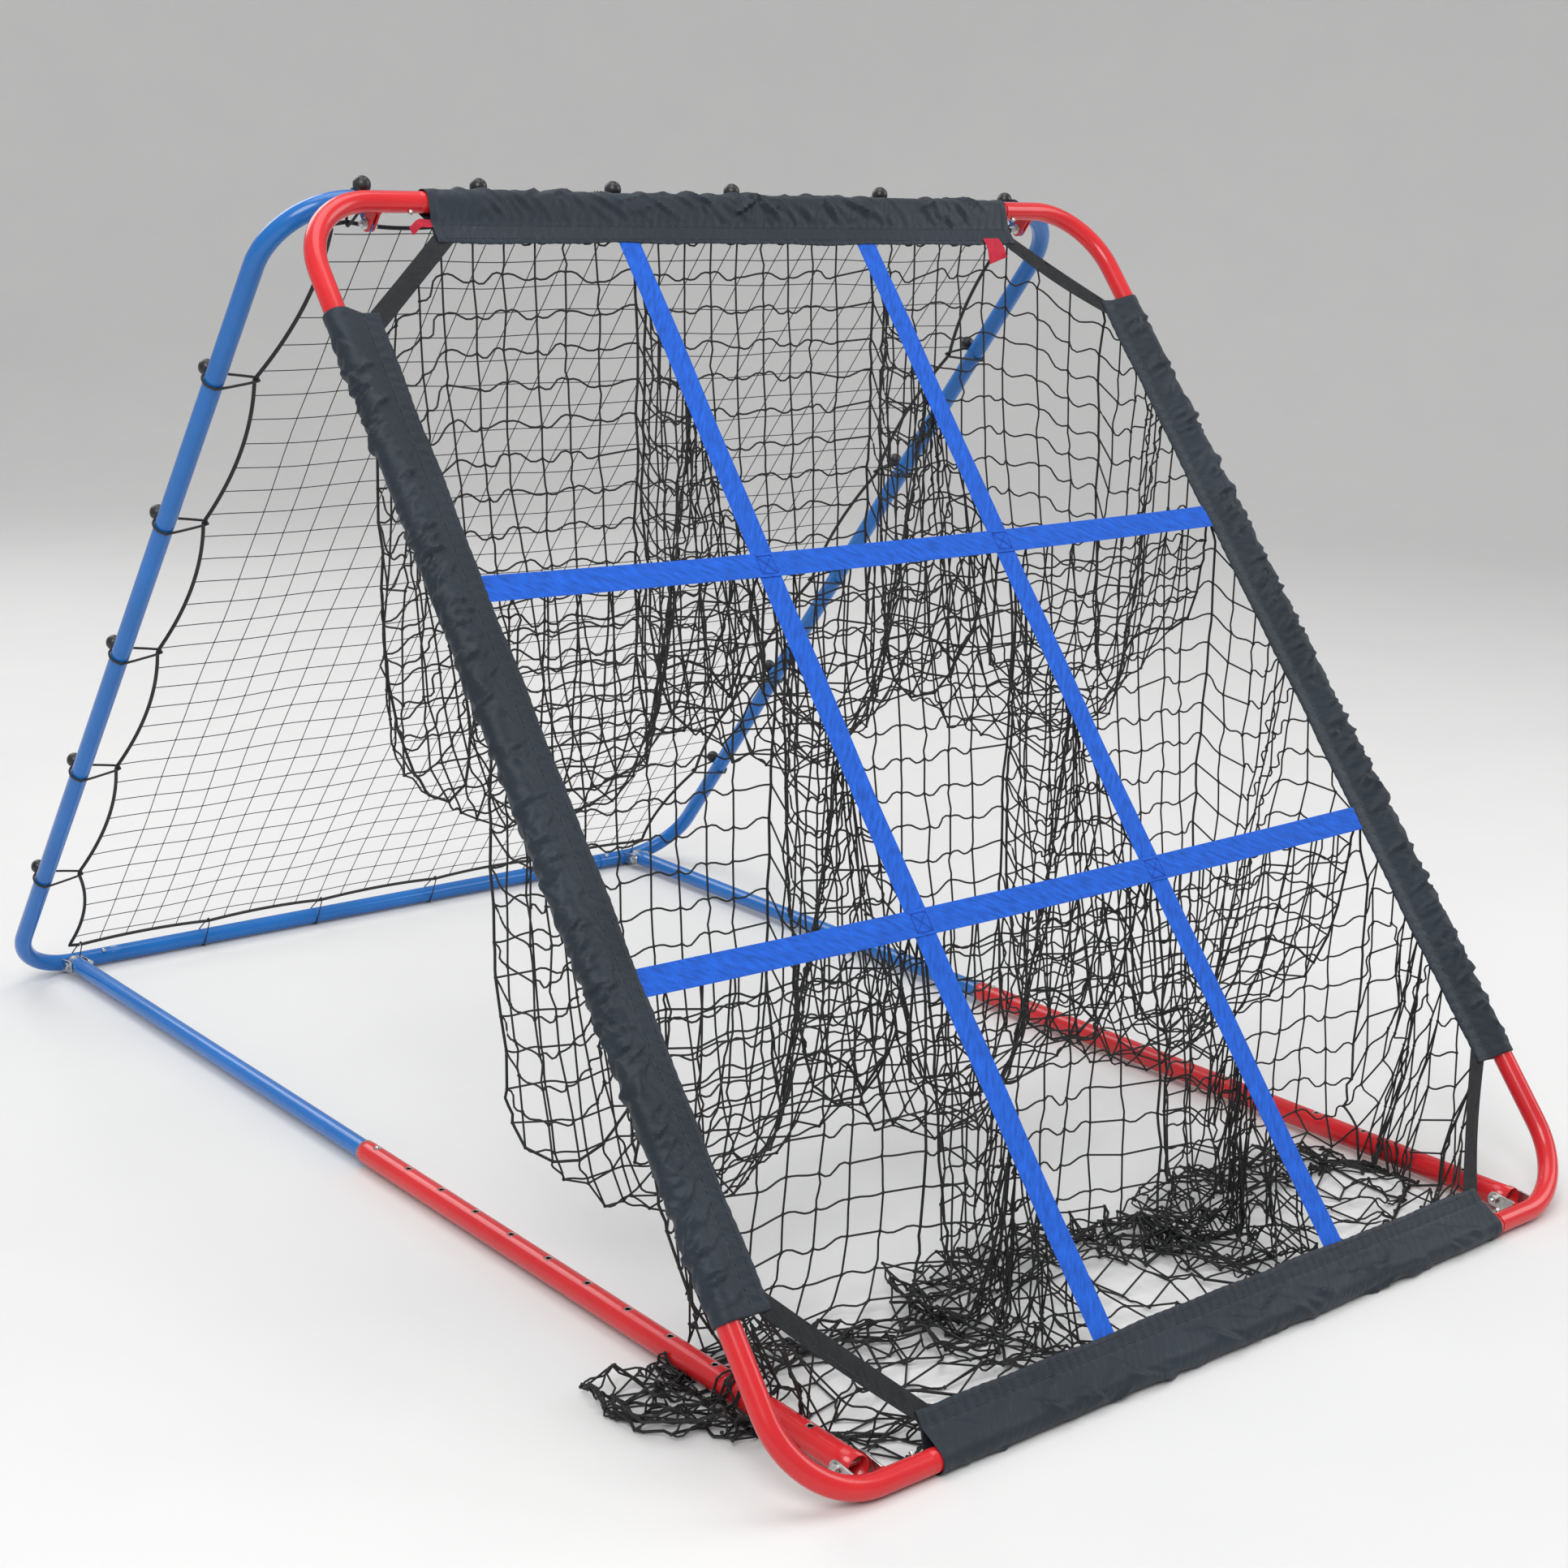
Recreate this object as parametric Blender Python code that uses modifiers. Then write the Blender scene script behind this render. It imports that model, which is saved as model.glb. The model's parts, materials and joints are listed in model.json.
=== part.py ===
"""Pitch back rebounder: two tube frames hinged at the top, with a nine pocket target net on the
front frame, a rebound net on the back frame and telescoping base tubes that set the angle.

Metres, +Z up. X runs across the frames, the front frame stands at -Y and the back frame at +Y.
Each frame is built in its own coordinates, whose origin lies on the top hinge: x across, z up the
slope and y towards the other frame.
"""

import math

import bmesh
import bpy
from mathutils import Matrix, Vector

# Frames
FRAME_WIDTH = 1.490          # between the centre lines of the side tubes
FRAME_LENGTH = 1.792         # between the centre lines of the bottom and top tubes
BEND_RADIUS = 0.115
TUBE_DIAMETER = 0.030
TUBE_WALL = 0.0012
LEAN = math.radians(38.65)   # each frame, from upright
TOP_GAP = 0.045              # between the centre lines of the two top tubes
SEAM_MARGIN = 0.008          # cover end to where a rail plugs into the corner tubes
SPIGOT_LENGTH = 0.045
SWAGE_LENGTH = 0.003
BEND_STEPS = 5

# Base tubes
BASE_MARGIN = 0.108          # side tube centre to base tube centre
BASE_RISE = 0.006            # base tube centre above the bottom rail centre
OUTER_DIAMETER = 0.035
OUTER_WALL = 0.0015
INNER_DIAMETER = 0.030
PIVOT_REACH = 0.046          # bottom rail centre to base pivot
END_OVERHANG = 0.016         # base tube end past its pivot
OUTER_REAR_Y = 0.028         # open end of the outer tube
HOLE_COUNT = 12
HOLE_PITCH = 0.0925
HOLE_MARGIN = 0.036
HOLE_DIAMETER = 0.0086
INNER_TAIL = 0.046           # inner tube past its lock button

# Lugs, bolts, screws and lock buttons
HINGE_MARGIN = 0.127         # side tube centre to the middle of a hinge
HINGE_DROP = 0.030           # hinge axis below the top tube centres
LUG_WIDTH = 0.022
LUG_THICKNESS = 0.003
LUG_ROOT = 0.0085            # start of a lug from its tube's centre
LUG_PLAY = 0.0007
BOLT_DIAMETER = 0.008
HEX_DIAMETER = 0.0145
HEX_HEIGHT = 0.0055
THREAD_STUB = 0.004
SCREW_DIAMETER = 0.004
SCREW_HEAD_DIAMETER = 0.0075
SCREW_HEAD_HEIGHT = 0.005
SCREW_REACH = 0.007
SCREW_INSET = 0.016          # from a rail's seam to its screw
BUTTON_DIAMETER = 0.0072
BUTTON_PROUD = 0.003
CLIP_WIRE = 0.002
CLIP_LENGTH = 0.034

# Cover sleeves, straps and pockets
COVER_THICKNESS = 0.0021
TOP_COVER_MARGIN = 0.197     # side tube centre to the cover's end
BOTTOM_COVER_MARGIN = 0.199
SIDE_COVER_LOW = 0.225       # from the bottom tube's centre
SIDE_COVER_MARGIN = 0.182    # top tube centre to the cover's end
TOP_FLANGE = 0.068           # tube centre to the sewn edge
BOTTOM_FLANGE = 0.060
SIDE_FLANGE = 0.062
FLANGE_THICKNESS = 0.005
STRAP_WIDTH = 0.038
STRAP_THICKNESS = 0.0016
CENTRE_COLUMN_WIDTH = 0.452  # between the upright straps' centres
BOTTOM_ROW_HEIGHT = 0.580    # bottom cover's edge to the lower level strap's centre
MIDDLE_ROW_HEIGHT = 0.550
CORNER_STRAP_WIDTH = 0.030
TAB_LENGTH = 0.036
TAB_WIDTH = 0.012
LOOSE_TAB_DROP = 0.027       # top tube centre to the loose tab's upper edge
LOOSE_TAB_TILT = 0.35
POCKET_INSET = 0.006
POCKET_DROP = 0.800          # back panel, from its upper edge to the bottom of the bag
POCKET_LIP = 0.290           # front panel below its strap
POCKET_SET_BACK = 0.004      # mouth behind the straps
POCKET_NARROWING = 0.030
POCKET_WALL = 0.002
POCKET_FLOOR = 0.006
MESH_COLUMNS = 3             # openings across a bag
MESH_BACK_ROWS = 3           # openings down its back panel
MESH_STRAND = 0.005

# Rebound net, its edge cord and its bungees
NET_COLUMNS = 11
NET_ROWS = 14
NET_STRAND = 0.003
NET_CLEARANCE = 0.0115       # net edge inside the cord's centre line
CORD_DIAMETER = 0.006
SIDE_BUNGEES = 5
SIDE_BUNGEE_LOW = 0.285      # lowest side bungee above the bottom tube
SIDE_BUNGEE_MARGIN = 0.327   # highest side bungee below the top tube
SIDE_SPAN = 0.063            # side tube centre to the cord
SIDE_CORNER_SPAN = 0.097
SIDE_SAG = 0.020
EDGE_MARGIN = 0.120          # side tube centre to the ends of the top and bottom cords
TOP_BUNGEE_PLACES = (-0.440, -0.210, 0.010, 0.310)
TOP_SPAN = 0.037             # top tube centre to the cord
TOP_SAG = 0.010
BOTTOM_TIE_PLACES = (-0.370, -0.130, 0.130, 0.370)
BOTTOM_EDGE = 0.052          # bottom tube centre to the cord
BOTTOM_SAG = 0.008
CORNER_STEP = 0.004          # end of a side cord inside the top and bottom cords
BUNGEE_DIAMETER = 0.004
TIE_THICKNESS = 0.0018
BALL_DIAMETER = 0.025
CORD_STEPS = 4               # cord points between anchors

# Fits
GAP = 0.0003
SLIP = 0.0004
TUBE_SIDES_RESOLUTION = 4    # twelve sided tubes
FACET = math.radians(15.0)   # half a facet of a twelve sided tube
ROUND_SIDES = 8              # bolts, screws and holes

# Sizes that follow from those above
HALF_WIDTH = FRAME_WIDTH / 2
TUBE_R = TUBE_DIAMETER / 2
TOP_COVER_HALF = HALF_WIDTH - TOP_COVER_MARGIN
BOTTOM_COVER_HALF = HALF_WIDTH - BOTTOM_COVER_MARGIN
SIDE_COVER_HIGH = FRAME_LENGTH - SIDE_COVER_MARGIN
SEAM_X = max(TOP_COVER_HALF, BOTTOM_COVER_HALF) + SEAM_MARGIN
BASE_X = HALF_WIDTH - BASE_MARGIN
HINGE_X = HALF_WIDTH - HINGE_MARGIN
SPIGOT_R = (TUBE_R - TUBE_WALL) * math.cos(FACET) - SLIP
COVER_R = (TUBE_R + SLIP + COVER_THICKNESS) / math.cos(FACET)
RAIL_Z = COVER_R * math.cos(FACET)
FRAME_Y = TOP_GAP / 2 + FRAME_LENGTH * math.sin(LEAN)
HINGE_Z = RAIL_Z + FRAME_LENGTH * math.cos(LEAN) - HINGE_DROP
PLANE_Y = -(TOP_GAP / 2 * math.cos(LEAN) + HINGE_DROP * math.sin(LEAN))
TOP_Z = HINGE_DROP * math.cos(LEAN) - TOP_GAP / 2 * math.sin(LEAN)
PIVOT_Y = FRAME_Y - PIVOT_REACH
PIVOT_Z = RAIL_Z + BASE_RISE
BORE_R = BOLT_DIAMETER / 2 / math.cos(math.pi / ROUND_SIDES) + GAP
SIDE_TIP = HALF_WIDTH - SIDE_FLANGE
TOP_TIP = FRAME_LENGTH - TOP_FLANGE
BOTTOM_TIP = BOTTOM_FLANGE
STRAP_COLUMN_X = CENTRE_COLUMN_WIDTH / 2
LOWER_STRAP = BOTTOM_TIP + BOTTOM_ROW_HEIGHT
STRAP_ROWS = (LOWER_STRAP, LOWER_STRAP + MIDDLE_ROW_HEIGHT)
TOP_EDGE = FRAME_LENGTH - TOP_SPAN
SIDE_BUNGEE_PITCH = (FRAME_LENGTH - SIDE_BUNGEE_LOW - SIDE_BUNGEE_MARGIN) / (SIDE_BUNGEES - 1)
SIDE_BUNGEE_PLACES = [SIDE_BUNGEE_LOW + k * SIDE_BUNGEE_PITCH for k in range(SIDE_BUNGEES)]
SIDE_ANCHORS = (BOTTOM_EDGE + CORNER_STEP, *SIDE_BUNGEE_PLACES, TOP_EDGE - CORNER_STEP)
EDGE_END = HALF_WIDTH - EDGE_MARGIN
TOP_ANCHORS = (-EDGE_END, *TOP_BUNGEE_PLACES, EDGE_END)
BOTTOM_ANCHORS = (-EDGE_END, *BOTTOM_TIE_PLACES, EDGE_END)
SIDE_REACH = HALF_WIDTH - SIDE_SPAN
OUTER_LENGTH = PIVOT_Y + OUTER_REAR_Y
LOCK_Y = OUTER_REAR_Y - HOLE_MARGIN
INNER_LENGTH = PIVOT_Y - LOCK_Y + INNER_TAIL
SIDES = (("left", -1), ("right", 1))

for item in list(bpy.data.objects):
    bpy.data.objects.remove(item, do_unlink=True)


def make_collection(name):
    """A collection linked to the scene."""
    collection = bpy.data.collections.new(name)
    bpy.context.scene.collection.children.link(collection)
    return collection


PARTS = make_collection("pitch_back_rebounder")
CUTTERS = make_collection("cutters")


def make_material(name, colour, roughness, metallic):
    """A Principled material with one colour."""
    material = bpy.data.materials.new(name)
    material.use_nodes = True
    shader = material.node_tree.nodes["Principled BSDF"]
    shader.inputs["Base Color"].default_value = (*colour, 1.0)
    shader.inputs["Roughness"].default_value = roughness
    shader.inputs["Metallic"].default_value = metallic
    return material


RED_PAINT = make_material("red_paint", (0.68, 0.025, 0.030), 0.35, 0.0)
BLUE_PAINT = make_material("blue_paint", (0.020, 0.155, 0.45), 0.35, 0.0)
ZINC = make_material("zinc", (0.70, 0.70, 0.68), 0.35, 1.0)
COVER_CLOTH = make_material("cover_cloth", (0.040, 0.045, 0.055), 0.75, 0.0)
BLUE_WEBBING = make_material("blue_webbing", (0.012, 0.090, 0.75), 0.8, 0.0)
BLACK_WEBBING = make_material("black_webbing", (0.012, 0.013, 0.015), 0.8, 0.0)
RED_TAPE = make_material("red_tape", (0.55, 0.020, 0.050), 0.8, 0.0)
BLACK_NET = make_material("black_net", (0.010, 0.011, 0.012), 0.8, 0.0)
BLACK_RUBBER = make_material("black_rubber", (0.012, 0.012, 0.013), 0.6, 0.0)


def make_empty(name, location, rotation=(0.0, 0.0, 0.0)):
    """An empty that carries the pieces of one moving body, standing on its joint's axis."""
    empty = bpy.data.objects.new(name, None)
    empty.location = location
    empty.rotation_euler = rotation
    PARTS.objects.link(empty)
    return empty


HINGE_POINT = (0.0, 0.0, HINGE_Z)
FRONT = make_empty("front_frame", HINGE_POINT, (-LEAN, 0.0, 0.0))
BACK = make_empty("back_frame", HINGE_POINT, (-LEAN, 0.0, math.pi))
BASE_OUTER = {n: make_empty(f"base_outer_{n}_pivot", (d * BASE_X, -PIVOT_Y, PIVOT_Z)) for n, d in SIDES}
BASE_INNER = {n: make_empty(f"base_inner_{n}_pivot", (d * BASE_X, PIVOT_Y, PIVOT_Z)) for n, d in SIDES}


def on_frame(x, up, inward=0.0):
    """A point of a frame: across, up the slope from the bottom rail, and behind the frame's plane."""
    return Vector((x, PLANE_Y + inward, TOP_Z - FRAME_LENGTH + up))


def add_part(name, mesh, parent, material):
    """One named piece of the object."""
    part = bpy.data.objects.new(name, mesh)
    part.parent = parent
    mesh.materials.clear()
    mesh.materials.append(material)
    mesh.shade_smooth()
    mesh.set_sharp_from_angle(angle=math.radians(35.0))
    PARTS.objects.link(part)
    return part


def add_cutter(name, mesh, parent):
    """A hidden shape that a Boolean joins to a piece or cuts from it."""
    cutter = bpy.data.objects.new(name, mesh)
    cutter.parent = parent
    cutter.hide_render = True
    cutter.display_type = "WIRE"
    CUTTERS.objects.link(cutter)
    return cutter


def combine(part, operation, other):
    """Join or cut a piece with a Boolean modifier."""
    modifier = part.modifiers.new(operation.lower(), "BOOLEAN")
    modifier.operation = operation
    modifier.object = other


def mesh_of_curve(curve, matrix=None):
    """A welded mesh made from a curve."""
    carrier = bpy.data.objects.new("carrier", curve)
    CUTTERS.objects.link(carrier)
    bpy.context.view_layer.update()
    depsgraph = bpy.context.evaluated_depsgraph_get()
    mesh = bpy.data.meshes.new_from_object(carrier.evaluated_get(depsgraph))
    bpy.data.objects.remove(carrier, do_unlink=True)
    shape = bmesh.new()
    shape.from_mesh(mesh)
    bmesh.ops.remove_doubles(shape, verts=shape.verts, dist=0.00001)
    if matrix is not None:
        shape.transform(matrix)
    bmesh.ops.recalc_face_normals(shape, faces=shape.faces)
    shape.to_mesh(mesh)
    shape.free()
    return mesh


def swept(points, radius, resolution, scales=None, capped=True, closed=False, tilt=0.0):
    """The mesh of a round wire or tube skin that follows points."""
    curve = bpy.data.curves.new("path", "CURVE")
    curve.dimensions = "3D"
    curve.bevel_depth = radius
    curve.bevel_resolution = resolution
    curve.use_fill_caps = capped and not closed
    spline = curve.splines.new("POLY")
    spline.points.add(len(points) - 1)
    spline.use_cyclic_u = closed
    for index, place in enumerate(points):
        spline.points[index].co = (*place, 1.0)
        spline.points[index].tilt = tilt
        if scales is not None:
            spline.points[index].radius = scales[index]
    return mesh_of_curve(curve)


def extruded(outlines, thickness, matrix):
    """The mesh of a flat plate: its outline, any holes in it, and its thickness."""
    curve = bpy.data.curves.new("outline", "CURVE")
    curve.dimensions = "2D"
    curve.fill_mode = "BOTH"
    curve.extrude = thickness / 2
    for outline in outlines:
        spline = curve.splines.new("POLY")
        spline.points.add(len(outline) - 1)
        spline.use_cyclic_u = True
        for index, (u, v) in enumerate(outline):
            spline.points[index].co = (u, v, 0.0, 1.0)
    return mesh_of_curve(curve, matrix)


def rod(radius, start, end, sides):
    """The mesh of a round or hexagonal bar between two points."""
    shape = bmesh.new()
    axis = end - start
    turn = axis.to_track_quat("Z", "Y").to_matrix().to_4x4()
    place = Matrix.Translation((start + end) / 2) @ turn
    bmesh.ops.create_cone(
        shape, cap_ends=True, segments=sides, radius1=radius, radius2=radius, depth=axis.length, matrix=place)
    mesh = bpy.data.meshes.new("rod")
    shape.to_mesh(mesh)
    shape.free()
    return mesh


def merged(meshes):
    """One mesh that holds several separate shapes."""
    shape = bmesh.new()
    for mesh in meshes:
        shape.from_mesh(mesh)
    result = bpy.data.meshes.new("merged")
    shape.to_mesh(result)
    shape.free()
    return result


def arc(centre, radius, start, end, steps):
    """Points on an arc in a plane, from one angle to another."""
    angles = [start + (end - start) * i / steps for i in range(steps + 1)]
    return [(centre[0] + radius * math.cos(a), centre[1] + radius * math.sin(a)) for a in angles]


# Tubes

def tube(name, points, diameter, wall, parent, material, scales=None):
    """A hollow tube along points."""
    skin = swept(points, diameter / 2, TUBE_SIDES_RESOLUTION, scales, capped=False, tilt=FACET)
    part = add_part(name, skin, parent, material)
    shell = part.modifiers.new("wall", "SOLIDIFY")
    shell.thickness = wall
    shell.offset = -1.0
    return part


def rail(name, up, parent, material):
    """A straight top or bottom tube, whose narrowed ends plug into the corner tubes."""
    narrow = SPIGOT_R / TUBE_R
    stations = (SEAM_X + SPIGOT_LENGTH, SEAM_X - GAP, SEAM_X - SWAGE_LENGTH)
    xs = [-x for x in stations] + [x for x in reversed(stations)]
    points = [on_frame(x, up) for x in xs]
    scales = [narrow, narrow, 1.0, 1.0, narrow, narrow]
    return tube(name, points, TUBE_DIAMETER, TUBE_WALL, parent, material, scales)


def corner_tube(name, side, top, parent, material):
    """A bent tube from a rail's seam to the middle of a side, where the lower one plugs into the upper."""
    centre_x = HALF_WIDTH - BEND_RADIUS
    rail_up = FRAME_LENGTH if top else 0.0
    away = -1 if top else 1
    bend = arc((centre_x, rail_up + away * BEND_RADIUS), BEND_RADIUS, -away * math.pi / 2, 0.0, BEND_STEPS)
    middle = FRAME_LENGTH / 2
    path = [(SEAM_X, rail_up), *bend, (HALF_WIDTH, middle)]
    scales = [1.0] * len(path)
    if not top:
        path[-1] = (HALF_WIDTH, middle - SWAGE_LENGTH)
        path += [(HALF_WIDTH, middle - GAP), (HALF_WIDTH, middle + SPIGOT_LENGTH)]
        scales += [SPIGOT_R / TUBE_R] * 2
    points = [on_frame(side * x, up) for x, up in path]
    return tube(name, points, TUBE_DIAMETER, TUBE_WALL, parent, material, scales)


def lug(name, parent, x, root, pivot, thickness):
    """A flat lug that stands on a tube and carries a pivot hole, as a shape to join to the tube."""
    reach = pivot - root
    length = reach.length
    along = reach.normalized()
    across = Vector((1.0, 0.0, 0.0)).cross(along)
    half = LUG_WIDTH / 2
    tip = arc((length, 0.0), half, -math.pi / 2, math.pi / 2, 4)
    outline = [(LUG_ROOT, half), (LUG_ROOT, -half), *tip]
    place = Matrix((
        (0.0, 0.0, 1.0, x),
        (along.y, across.y, 0.0, root.y),
        (along.z, across.z, 0.0, root.z),
        (0.0, 0.0, 0.0, 1.0)))
    return add_cutter(name, extruded([outline], thickness, place), parent)


def drill(part, parent, name, start, end, radius):
    """A round hole through a piece."""
    combine(part, "DIFFERENCE", add_cutter(name, rod(radius, start, end, ROUND_SIDES), parent))


def weld_lugs(part, parent, offsets, x, root, pivot, label):
    """Join lugs to a tube and drill their pivot hole."""
    for number, offset in enumerate(offsets):
        shape = lug(f"{label}_lug_{number}", parent, x + offset, root, pivot, LUG_THICKNESS)
        combine(part, "UNION", shape)
    span = Vector((max(abs(o) for o in offsets) + LUG_THICKNESS, 0.0, 0.0))
    middle = Vector((x, pivot.y, pivot.z))
    drill(part, parent, f"{label}_bore", middle - span, middle + span, BORE_R)


def hex_bolt(name, parent, middle, grip, direction):
    """A hexagon bolt with its nut, across X; grip is half the length that it clamps."""
    axis = Vector((direction, 0.0, 0.0))
    under_head = middle - axis * (grip + GAP)
    under_nut = middle + axis * (grip + GAP)
    head = rod(HEX_DIAMETER / 2, under_head - axis * HEX_HEIGHT, under_head, 6)
    nut = rod(HEX_DIAMETER / 2, under_nut, under_nut + axis * HEX_HEIGHT, 6)
    shank_start = under_head - axis * HEX_HEIGHT / 2
    shank_end = under_nut + axis * (HEX_HEIGHT + THREAD_STUB)
    part = add_part(name, rod(BOLT_DIAMETER / 2, shank_start, shank_end, ROUND_SIDES), parent, ZINC)
    combine(part, "UNION", add_cutter(f"{name}_head", head, parent))
    combine(part, "UNION", add_cutter(f"{name}_nut", nut, parent))


def joint_screw(name, parent, tubes, x, up, inward):
    """A pan head screw that pins a rail's spigot in a corner tube, on the frame's inner side."""
    centre = on_frame(x, up)
    axis = Vector((0.0, 0.0, inward))
    seat = centre + axis * (TUBE_R + GAP)
    tip = centre + axis * (TUBE_R - SCREW_REACH)
    for number, part in enumerate(tubes):
        hole = SCREW_DIAMETER / 2 + GAP
        drill(part, parent, f"{name}_hole_{number}", tip, seat + axis * SCREW_HEAD_HEIGHT, hole)
    shank = rod(SCREW_DIAMETER / 2, tip, seat + axis * SCREW_HEAD_HEIGHT / 2, ROUND_SIDES)
    head = rod(SCREW_HEAD_DIAMETER / 2, seat, seat + axis * SCREW_HEAD_HEIGHT, 10)
    part = add_part(name, shank, parent, ZINC)
    combine(part, "UNION", add_cutter(f"{name}_head", head, parent))


def build_frame(label, parent, material, mirror, hinge_offsets, base_gap):
    """One frame: two rails and four corner tubes with hinge and base lugs, screwed together.

    mirror is -1 where the frame's own x runs against the object's, as on the back frame.
    """
    rails = {"top": rail(f"{label}_top_rail", FRAME_LENGTH, parent, material),
             "bottom": rail(f"{label}_bottom_rail", 0.0, parent, material)}
    down = Vector((0.0, math.cos(LEAN), math.sin(LEAN)))
    upright = Vector((0.0, -math.sin(LEAN), math.cos(LEAN)))
    for name, direction in SIDES:
        side = direction * mirror
        for level, up, inward in (("top", FRAME_LENGTH, -1), ("bottom", 0.0, 1)):
            part = corner_tube(f"{label}_corner_{level}_{name}", side, level == "top", parent, material)
            root = on_frame(0.0, up)
            tag = f"{label}_{level}_{name}"
            if level == "top":
                weld_lugs(part, parent, hinge_offsets, side * HINGE_X, root, Vector((0.0, 0.0, 0.0)), tag)
            else:
                pivot = root + down * PIVOT_REACH + upright * BASE_RISE
                offset = base_gap + LUG_THICKNESS / 2
                weld_lugs(part, parent, (-offset, offset), side * BASE_X, root, pivot, tag)
            joint_screw(f"{label}_screw_{level}_{name}", parent, (part, rails[level]),
                        side * (SEAM_X + SCREW_INSET), up, inward)


def build_base():
    """The telescoping base tubes, their pivot bolts and their lock buttons."""
    for name, direction in SIDES:
        outer_pivot = BASE_OUTER[name]
        ends = [Vector((0.0, -END_OVERHANG, 0.0)), Vector((0.0, OUTER_LENGTH, 0.0))]
        outer = tube(f"base_outer_{name}", ends, OUTER_DIAMETER, OUTER_WALL, outer_pivot, RED_PAINT)
        across = Vector((OUTER_DIAMETER, 0.0, 0.0))
        drill(outer, outer_pivot, f"base_outer_{name}_bore", -across, across, BORE_R)
        up = Vector((0.0, 0.0, OUTER_DIAMETER))
        holes = []
        for number in range(HOLE_COUNT):
            foot = Vector((0.0, OUTER_LENGTH - HOLE_MARGIN - number * HOLE_PITCH, 0.0))
            holes.append(rod(HOLE_DIAMETER / 2, foot, foot + up, ROUND_SIDES))
        combine(outer, "DIFFERENCE", add_cutter(f"base_outer_{name}_holes", merged(holes), outer_pivot))

        inner_pivot = BASE_INNER[name]
        ends = [Vector((0.0, -INNER_LENGTH, 0.0)), Vector((0.0, END_OVERHANG, 0.0))]
        inner = tube(f"base_inner_{name}", ends, INNER_DIAMETER, TUBE_WALL, inner_pivot, BLUE_PAINT)
        drill(inner, inner_pivot, f"base_inner_{name}_bore", -across, across, BORE_R)
        lock = Vector((0.0, INNER_TAIL - INNER_LENGTH, 0.0))
        drill(inner, inner_pivot, f"base_inner_{name}_lock_hole", lock, lock + up, HOLE_DIAMETER / 2)

        bore = (INNER_DIAMETER / 2 - TUBE_WALL) * math.cos(FACET)
        leg = bore - CLIP_WIRE / 2 - SLIP
        wire = [lock + Vector((0.0, y, z)) for y, z in (
            (-CLIP_WIRE * 2, leg), (0.0, leg), (CLIP_LENGTH * 0.85, leg * 0.25), (CLIP_LENGTH, 0.0),
            (CLIP_LENGTH * 0.85, -leg * 0.25), (0.0, -leg))]
        clip = add_part(f"lock_button_{name}", swept(wire, CLIP_WIRE / 2, 1), inner_pivot, ZINC)
        crown = lock + Vector((0.0, 0.0, OUTER_DIAMETER / 2 + BUTTON_PROUD))
        button = rod(BUTTON_DIAMETER / 2, lock + Vector((0.0, 0.0, leg)), crown, 10)
        combine(clip, "UNION", add_cutter(f"lock_button_{name}_pin", button, inner_pivot))

        outer_grip = OUTER_DIAMETER / 2 + LUG_PLAY + LUG_THICKNESS
        inner_grip = INNER_DIAMETER / 2 + LUG_PLAY + LUG_THICKNESS
        hex_bolt(f"front_pivot_bolt_{name}", outer_pivot, Vector((0.0, 0.0, 0.0)), outer_grip, -direction)
        hex_bolt(f"rear_pivot_bolt_{name}", inner_pivot, Vector((0.0, 0.0, 0.0)), inner_grip, -direction)
        hinge_grip = LUG_THICKNESS * 1.5 + LUG_PLAY
        hex_bolt(f"hinge_bolt_{name}", FRONT, Vector((direction * HINGE_X, 0.0, 0.0)), hinge_grip, direction)


# Cover sleeves and straps of the front frame

def sleeve_section(flange, turn):
    """A sleeve's section: round the tube, and closing in on its sewn flange along +u.

    turn sets where the flat facets of the round part lie.
    """
    first = math.ceil((math.radians(75.0) - turn) / (2 * FACET) - 0.5)
    angles = [turn + (first + k + 0.5) * 2 * FACET for k in range(8)]
    round_part = [(COVER_R * math.cos(a), COVER_R * math.sin(a)) for a in angles]
    half = FLANGE_THICKNESS / 2
    bore_r = (TUBE_R + SLIP) / math.cos(FACET)
    bore = arc((0.0, 0.0), bore_r, 0.0, 2 * math.pi - 2 * FACET, 11)
    return [[(flange, half), *round_part, (flange, -half)], bore]


def sleeve(name, middle, length, inward, along, flange, turn=0.0):
    """A padded cover round a tube, sewn to a flat flange on the frame's inner side."""
    normal = along.cross(inward)
    place = Matrix.Translation(middle) @ Matrix((inward, normal, along)).transposed().to_4x4()
    add_part(name, extruded(sleeve_section(flange, turn), length, place), FRONT, COVER_CLOTH)


def strap(name, corners, depth, material, thickness=STRAP_THICKNESS):
    """A flat strap in the front frame's plane, with its corners given across and up the slope."""
    base = on_frame(0.0, 0.0, depth)
    place = Matrix.Translation(base) @ Matrix.Rotation(math.pi / 2, 4, "X")
    add_part(name, extruded([corners], thickness, place), FRONT, material)


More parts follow.
